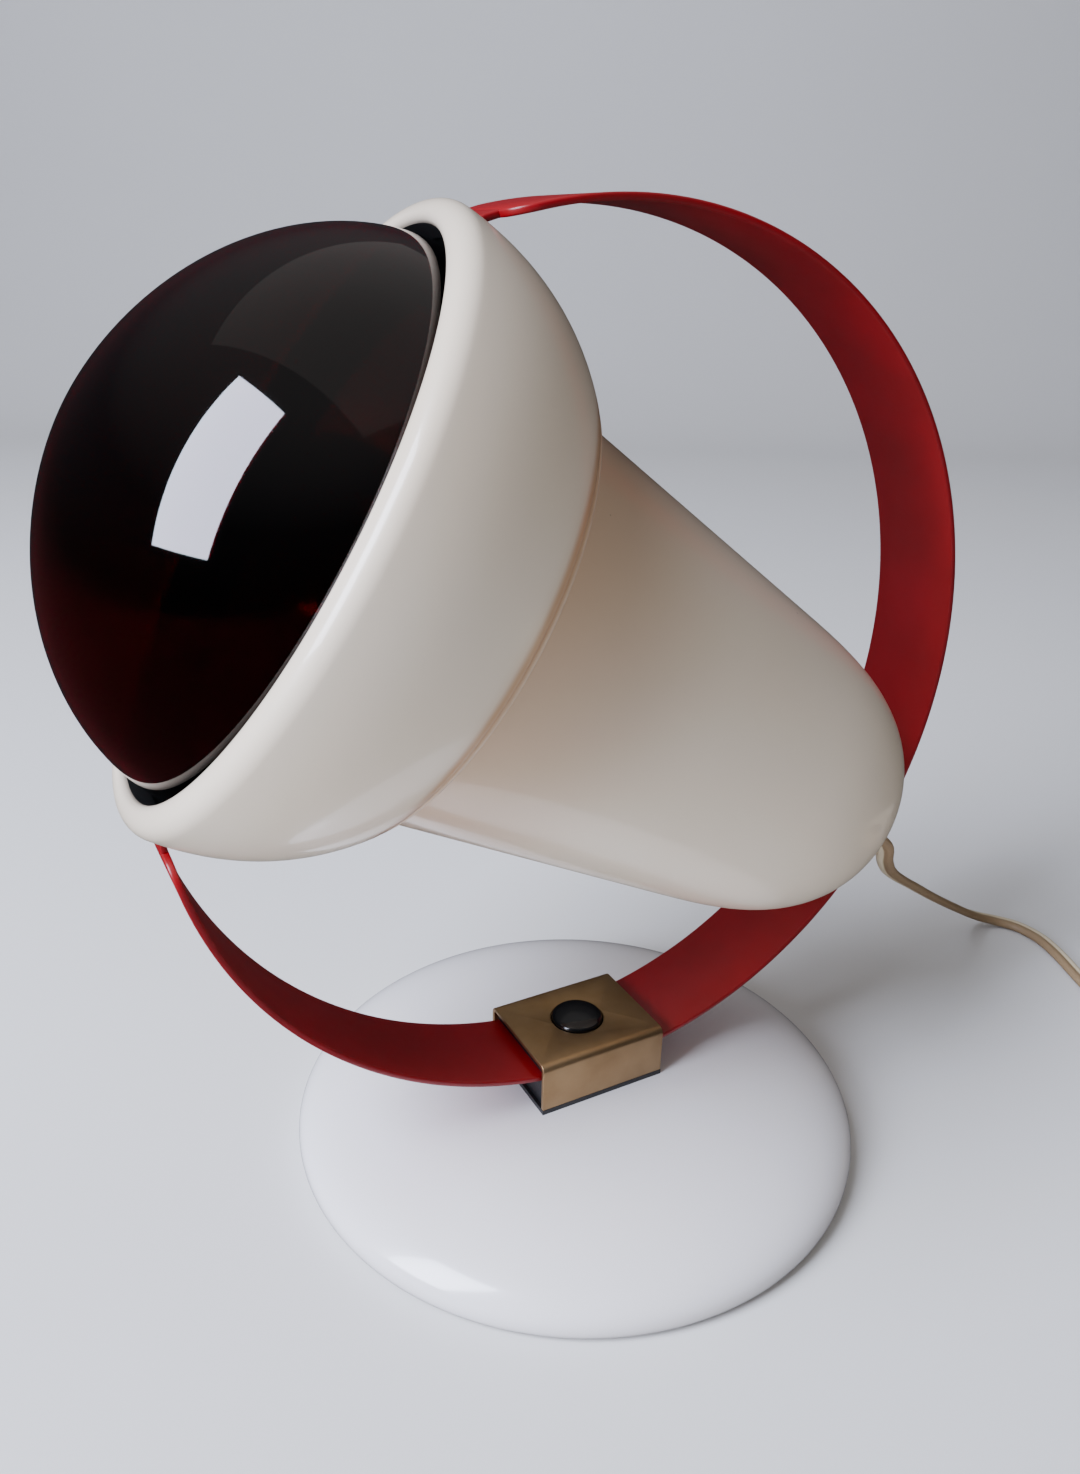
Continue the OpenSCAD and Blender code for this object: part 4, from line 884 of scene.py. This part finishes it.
def red_enamel():
    """Stoved enamel on spring strip: deep red, glossy in a thin coat, so its highlight is soft and narrow."""
    made, tree, spot = new_material("stoved_enamel_red")
    # the coat's depth changes over 29 mm, its orange peel over 1.7 mm
    cloud = add(tree, "ShaderNodeTexNoise", {"Vector": spot, "Scale": every(28.6), "Detail": 3.0})
    tint = add(tree, "ShaderNodeValToRGB", {"Fac": cloud}, stops=((0.3, "8A0512"), (0.7, "7A040C")))
    peel = add(tree, "ShaderNodeTexNoise", {"Vector": spot, "Scale": every(1.667), "Detail": 2.0})
    relief = add(tree, "ShaderNodeBump", {"Height": peel, "Strength": 0.08, "Distance": 0.0002})
    rub = add(tree, MAP, {"Value": cloud, "To Min": 0.29, "To Max": 0.44})
    shader = add(tree, "ShaderNodeBsdfPrincipled", {"Base Color": tint, "Roughness": rub, "Normal": relief,
                                                    "IOR": 1.46, "Coat Weight": 0.05, "Coat Roughness": 0.15})
    add(tree, "ShaderNodeOutputMaterial", {"Surface": shader})
    return made


def brass_sheet():
    """Lacquered brass sheet, brushed along its length: satin, with its highlight spread across the strokes."""
    made, tree, spot = new_material("lacquered_brass_brushed")
    # brush strokes 0.15 mm wide and 12 mm long
    wide, long = every(0.1515), every(11.765)
    stretched = add(tree, "ShaderNodeMapping", {"Vector": spot, "Scale": (wide, long, wide)})
    strokes = add(tree, "ShaderNodeTexNoise", {"Vector": stretched, "Scale": 1.0, "Detail": 2.0})
    # the lacquer has tarnished in blotches 11 mm across
    blotch = add(tree, "ShaderNodeTexNoise", {"Vector": spot, "Scale": every(11.11), "Detail": 4.0})
    tint = add(tree, "ShaderNodeValToRGB", {"Fac": blotch}, stops=((0.3, "A98D68"), (0.75, "987B57")))
    relief = add(tree, "ShaderNodeBump", {"Height": strokes, "Strength": 0.12, "Distance": 0.00005})
    rub = add(tree, MAP, {"Value": blotch, "To Min": 0.42, "To Max": 0.56})
    shader = add(tree, "ShaderNodeBsdfPrincipled", {"Base Color": tint, "Metallic": 1.0, "Roughness": rub,
                                                    "Normal": relief})
    add(tree, "ShaderNodeOutputMaterial", {"Surface": shader})
    return made


def ruby_glass():
    """Blown ruby glass: nearly black where it is looked through twice, red where the mirror sends light back."""
    made, tree, spot = new_material("ruby_glass")
    # the blown wall's colour and polish wander over 56 mm
    wave = add(tree, "ShaderNodeTexNoise", {"Vector": spot, "Scale": every(55.56), "Detail": 1.0})
    tint = add(tree, "ShaderNodeValToRGB", {"Fac": wave}, stops=((0.35, "46020A"), (0.7, "54040D")))
    smear = add(tree, MAP, {"Value": wave, "To Min": 0.015, "To Max": 0.05})
    shader = add(tree, "ShaderNodeBsdfPrincipled", {"Base Color": tint, "Roughness": smear, "IOR": 1.5,
                                                    "Transmission Weight": 1.0})
    add(tree, "ShaderNodeOutputMaterial", {"Surface": shader})
    return made


def plain(name, pale, dark, rough, metallic=0.0, grain=3.333, bump=0.1, depth=0.0001, spread=0.12, **extra):
    """A finish with a fine grain of so many mm, and a slow change of colour and gloss over 17 mm."""
    made, tree, spot = new_material(name)
    cloud = add(tree, "ShaderNodeTexNoise", {"Vector": spot, "Scale": every(16.67), "Detail": 4.0})
    tint = add(tree, "ShaderNodeValToRGB", {"Fac": cloud}, stops=((0.3, pale), (0.7, dark)))
    fine = add(tree, "ShaderNodeTexNoise", {"Vector": spot, "Scale": every(grain), "Detail": 2.0})
    relief = add(tree, "ShaderNodeBump", {"Height": fine, "Strength": bump, "Distance": depth})
    rub = add(tree, MAP, {"Value": cloud, "To Min": max(0.02, rough - spread), "To Max": rough + spread})
    shader = add(tree, "ShaderNodeBsdfPrincipled", {"Base Color": tint, "Metallic": metallic, "Roughness": rub,
                                                    "Normal": relief, **extra})
    add(tree, "ShaderNodeOutputMaterial", {"Surface": shader})
    return made


def flex_skin():
    """Extruded PVC flex: dull gloss, with painted shade in the valley between its two cores and along the whole of
    one core.
    """
    made, tree, spot = new_material("pvc_flex_cream")
    core = add(tree, "ShaderNodeAttribute", attribute_name="core", attribute_type="GEOMETRY")
    # painted shade: the valley and the core on one side are darker, following the core attribute across the flex
    tone = add(tree, "ShaderNodeValToRGB", {"Fac": core.outputs["Fac"]},
               stops=((0.0, "9C8261"), (1.0, "D2C2A2"), (0.06, "B8A47F"), (0.16, "D6C7A6")))
    # handling has soiled it in patches 12.5 mm long
    soil = add(tree, "ShaderNodeTexNoise", {"Vector": spot, "Scale": every(12.5), "Detail": 4.0})
    relief = add(tree, "ShaderNodeBump", {"Height": soil, "Strength": 0.1, "Distance": 0.0002})
    rub = add(tree, MAP, {"Value": soil, "To Min": 0.35, "To Max": 0.6})
    shader = add(tree, "ShaderNodeBsdfPrincipled", {"Base Color": tone, "Roughness": rub, "Normal": relief,
                                                    "IOR": 1.53})
    add(tree, "ShaderNodeOutputMaterial", {"Surface": shader})
    return made


# Stoving enamel on pressed steel: a thick, hard, glassy ivory that keeps sharp highlights
enamel_ivory = ivory("stoved_enamel_ivory", "EEEBEA", "E9E4E0", (0.16, 0.26))
# Compression-moulded urea: warmer and slightly softer in gloss, ambered by the bulb's heat at the joint, with
# painted shade in the groove beside the bead
urea_ivory = ivory("moulded_urea_ivory", "E7D9C2", "E0CDB1", (0.29, 0.42), "B5824F")
red_strap = red_enamel()
brass = brass_sheet()
ruby = ruby_glass()
flex_pvc = flex_skin()
# Injection-moulded phenolic: satin black, with a fine grain that breaks up its highlights
phenolic = plain("phenolic_black", "17171A", "0E0E10", 0.42, grain=1.111, bump=0.15)
# Polished phenolic: the button's black dome carries one bright highlight, dulled by fingers
button_black = plain("phenolic_black_polished", "060607", "0A0A0C", 0.14, grain=2.0, bump=0.02, spread=0.06)
# Zinc-plated steel: bright, with a slight grey bloom
zinc = plain("zinc_plated_steel", "B9BBBD", "9B9DA0", 0.36, 1.0, 2.5, 0.06, spread=0.07)
# Silver mirror fired inside the bulb: clear reflections, seen red through the glass
silvering = plain("silvered_glass", "D8D6D2", "C9C6C1", 0.08, 1.0, 16.67, 0.03, spread=0.03)
# Cast iron as it left the sand: dark, coarse and without a highlight
iron = plain("cast_iron", "3A3836", "2A2928", 0.65, 0.6, 4.0, 0.5, 0.0004)
# Cold-rolled steel sheet: plain grey metal with a smooth, cloudy sheen
sheet_steel = plain("cold_rolled_steel", "9A9B9C", "7F8081", 0.4, 1.0, 2.0, 0.08)
# Moulded rubber: matt near-black, greyed by fine dust
rubber = plain("moulded_rubber", "1D1C1B", "2A2826", 0.8, 0.0, 1.4286, 0.3)
# Phosphor bronze strip: reddish metal with a rolled sheen
bronze = plain("phosphor_bronze", "B07B4A", "8F6038", 0.36, 1.0, 2.0, 0.05, spread=0.07)
# Vulcanised fibre: dull red-brown, with a papery surface
fibre = plain("vulcanised_fibre", "3A2A22", "2A1E18", 0.7, 0.0, 1.25, 0.3)
# Heat-resisting black paint, matt: painted shade, standing in for the shade of the hood's deep cavity round the
# glass
shade_black_paint = plain("painted_shade_black", "101010", "1B1917", 0.6, 0.0, 2.0, 0.15)
# Spun brass: the cap's thin shell, yellow and softly bright
cap_brass = plain("spun_brass", "C6A765", "A98A4C", 0.35, 1.0, 2.0, 0.05, spread=0.06)
# Clear soda glass: shows only by its edges and highlights
clear_glass = plain("soda_glass", "E8EEEC", "E0E8E6", 0.05, 0.0, 16.67, 0.02, spread=0.02,
                    **{"Transmission Weight": 0.9, "IOR": 1.5})
# Glazed porcelain: cold white under a wet-looking glaze
porcelain = plain("glazed_porcelain", "EFEDE6", "E6E2D8", 0.15, 0.0, 5.0, 0.05, spread=0.06)
# Woven glass sleeving: greyish and dry, with its weave felt as a 0.4 mm grain
sleeving = plain("woven_glass_sleeve", "A8A092", "8F8778", 0.8, 0.0, 0.4, 0.6)
# White PVC tape: slightly glossy, creased where it is wound
tape = plain("pvc_tape_white", "E4E1D8", "D6D2C6", 0.45, 0.0, 2.5, 0.1)
# Moulded cream PVC: soft gloss, a little uneven, like the flex that it grips
pvc_cream = plain("moulded_pvc_cream", "D6C8A8", "CCBC98", 0.42, 0.0, 2.0, 0.12, **{"IOR": 1.53})
# Nickel plate on brass: bright pins, rubbed by the socket
nickel = plain("nickel_plate", "C9C8C4", "B5B3AE", 0.16, 1.0, 2.5, 0.03, spread=0.06)


def paint(material, *things):
    """Gives a material to pieces, and to CAD nodes by their names."""
    for thing in things:
        piece = cad[thing] if isinstance(thing, str) else thing
        piece.data.materials.clear()
        piece.data.materials.append(material)


paint(enamel_ivory, base)
paint(urea_ivory, hood, housing, spigot, columns)
# painted shade: the moulding's inside behind the lip gets the same matt black as the shield, so that the cavity
# round the glass stays dark
hood.data.materials.append(shade_black_paint)
to_head = HEAD_FRAME.inverted()
for face in hood.data.polygons:
    centre = to_head @ face.center / MM
    normal = to_head.to_3x3() @ face.normal
    radial = Vector((centre.x, centre.y, 0))
    inward = radial.normalized().dot(normal) < 0.1
    behind_lip = WEB_A - 0.5 < centre.z < LIP_A - LIP_INNER_R + 0.1
    if inward and behind_lip and radial.length < OPEN_R + 0.6 + max(0.0, FULL_A - 2 - centre.z):
        face.material_index = 1
paint(red_strap, strap)
paint(brass, cover)
paint(button_black, button)
paint(ruby, glass)
paint(silvering, mirror)
paint(flex_pvc, cord_upper, cord_lower)
paint(pvc_cream, gland, gland_ribs, plug, boot, boot_ribs, "inner_lead")
paint(phenolic, "clamp_block", "strap_guide")
paint(zinc, "clamp_bolt", "bolt_washer", spring, "retaining_ring", "holder_bracket", "bracket_screws",
      "bulb_contact", rivets)
paint(iron, "base_weight")
paint(sheet_steel, "base_plate")
paint(rubber, "foot_pad")
paint(bronze, "strap_leaf", "holder_contact")
paint(fibre, "pivot_washers")
# painted shade: the shield's matt black stands in for the shade between the glass and the lip
paint(shade_black_paint, "heat_shield")
paint(cap_brass, "bulb_cap", "holder_sleeve", "holder_nut")
paint(clear_glass, "filament_mount")
paint(porcelain, "lamp_holder", "terminal_block")
paint(sleeving, "inner_wires")
paint(tape, "coil_tie")
paint(nickel, "plug_pins")


# ---------------------------------------------------------------- floor and light
def studio():
    """Pale paper floor that curves up into a pale wall, behind the lamp as the camera sees it."""
    work = bmesh.new()
    a = math.radians(CAMERA_AZIMUTH)
    away = Vector((-math.sin(a), math.cos(a), 0))
    across = Vector((math.cos(a), math.sin(a), 0))
    line = [(-2.5, 0.0)] + arc(1.2, 0.6, 0.6, -90, 0, 16) + [(1.8, 3.0)]
    rows = [[work.verts.new(away * d + across * s + Vector((0, 0, z))) for s in (-3.0, 3.0)] for d, z in line]
    for low, high in zip(rows, rows[1:]):
        work.faces.new((low[0], low[1], high[1], high[0]))
    mesh = bpy.data.meshes.new("studio_sweep")
    work.to_mesh(mesh)
    work.free()
    mesh.shade_smooth()
    floor = bpy.data.objects.new("studio_sweep", mesh)
    bpy.context.scene.collection.objects.link(floor)
    made, tree, spot = new_material("studio_paper")
    # the paper's tone wanders over 333 mm
    cloud = add(tree, "ShaderNodeTexNoise", {"Vector": spot, "Scale": every(333.3)})
    tint = add(tree, "ShaderNodeValToRGB", {"Fac": cloud}, stops=((0.0, "D9D7D2"), (1.0, "DEDCD7")))
    shader = add(tree, "ShaderNodeBsdfPrincipled", {"Base Color": tint, "Roughness": 0.75})
    add(tree, "ShaderNodeOutputMaterial", {"Surface": shader})
    floor.data.materials.append(made)
    floor.visible_glossy = False


def lamp(name, place, aim, size, power, tint, mirrored=True):
    """Soft rectangular light; mirrored says whether gloss and glass show it."""
    data = bpy.data.lights.new(name, "AREA")
    data.shape = "RECTANGLE"
    data.size, data.size_y = size
    data.energy = power
    data.color = colour(tint)[:3]
    light = bpy.data.objects.new(name, data)
    light.visible_glossy = mirrored
    light.location = place
    light.rotation_euler = (Vector(aim) - Vector(place)).to_track_quat("-Z", "Y").to_euler()
    bpy.context.scene.collection.objects.link(light)


studio()
lamp("window_light", (0.14, -1.2, 0.98), (0, 0, 0.12), (0.62, 1.25), 82.0, "DFE7FF")
lamp("top_light", (-0.1, 0.3, 1.6), (0, 0, 0.1), (2.4, 2.0), 2.6, "FFFBF4")
lamp("room_fill", (1.5, 0.3, 0.5), (0, 0, 0.12), (1.2, 1.0), 1.2, "FFF3E6", mirrored=False)


def room():
    """Soft room light: bright overhead, dimmer round the horizon, so that the glass reflects a darker room."""
    world = bpy.data.worlds.new("soft_room")
    world.use_nodes = True
    bpy.context.scene.world = world
    tree = world.node_tree
    tree.nodes.clear()
    way = add(tree, "ShaderNodeTexCoord").outputs["Generated"]
    height = add(tree, "ShaderNodeSeparateXYZ", {"Vector": way}).outputs["Z"]
    shade = add(tree, "ShaderNodeValToRGB", {"Fac": height},
                stops=((0.0, "4A484C"), (0.9, "F4F3F6"), (0.35, "6E6D76")))
    light = add(tree, "ShaderNodeBackground", {"Color": shade, "Strength": 0.31})
    # what the camera itself sees past the sweep is plain pale grey
    backdrop = add(tree, "ShaderNodeBackground", {"Color": colour("C4C4C8"), "Strength": 0.8})
    seen = add(tree, "ShaderNodeLightPath").outputs["Is Camera Ray"]
    whole = add(tree, "ShaderNodeMixShader", {0: seen, 1: light, 2: backdrop})
    add(tree, "ShaderNodeOutputWorld", {"Surface": whole})


room()
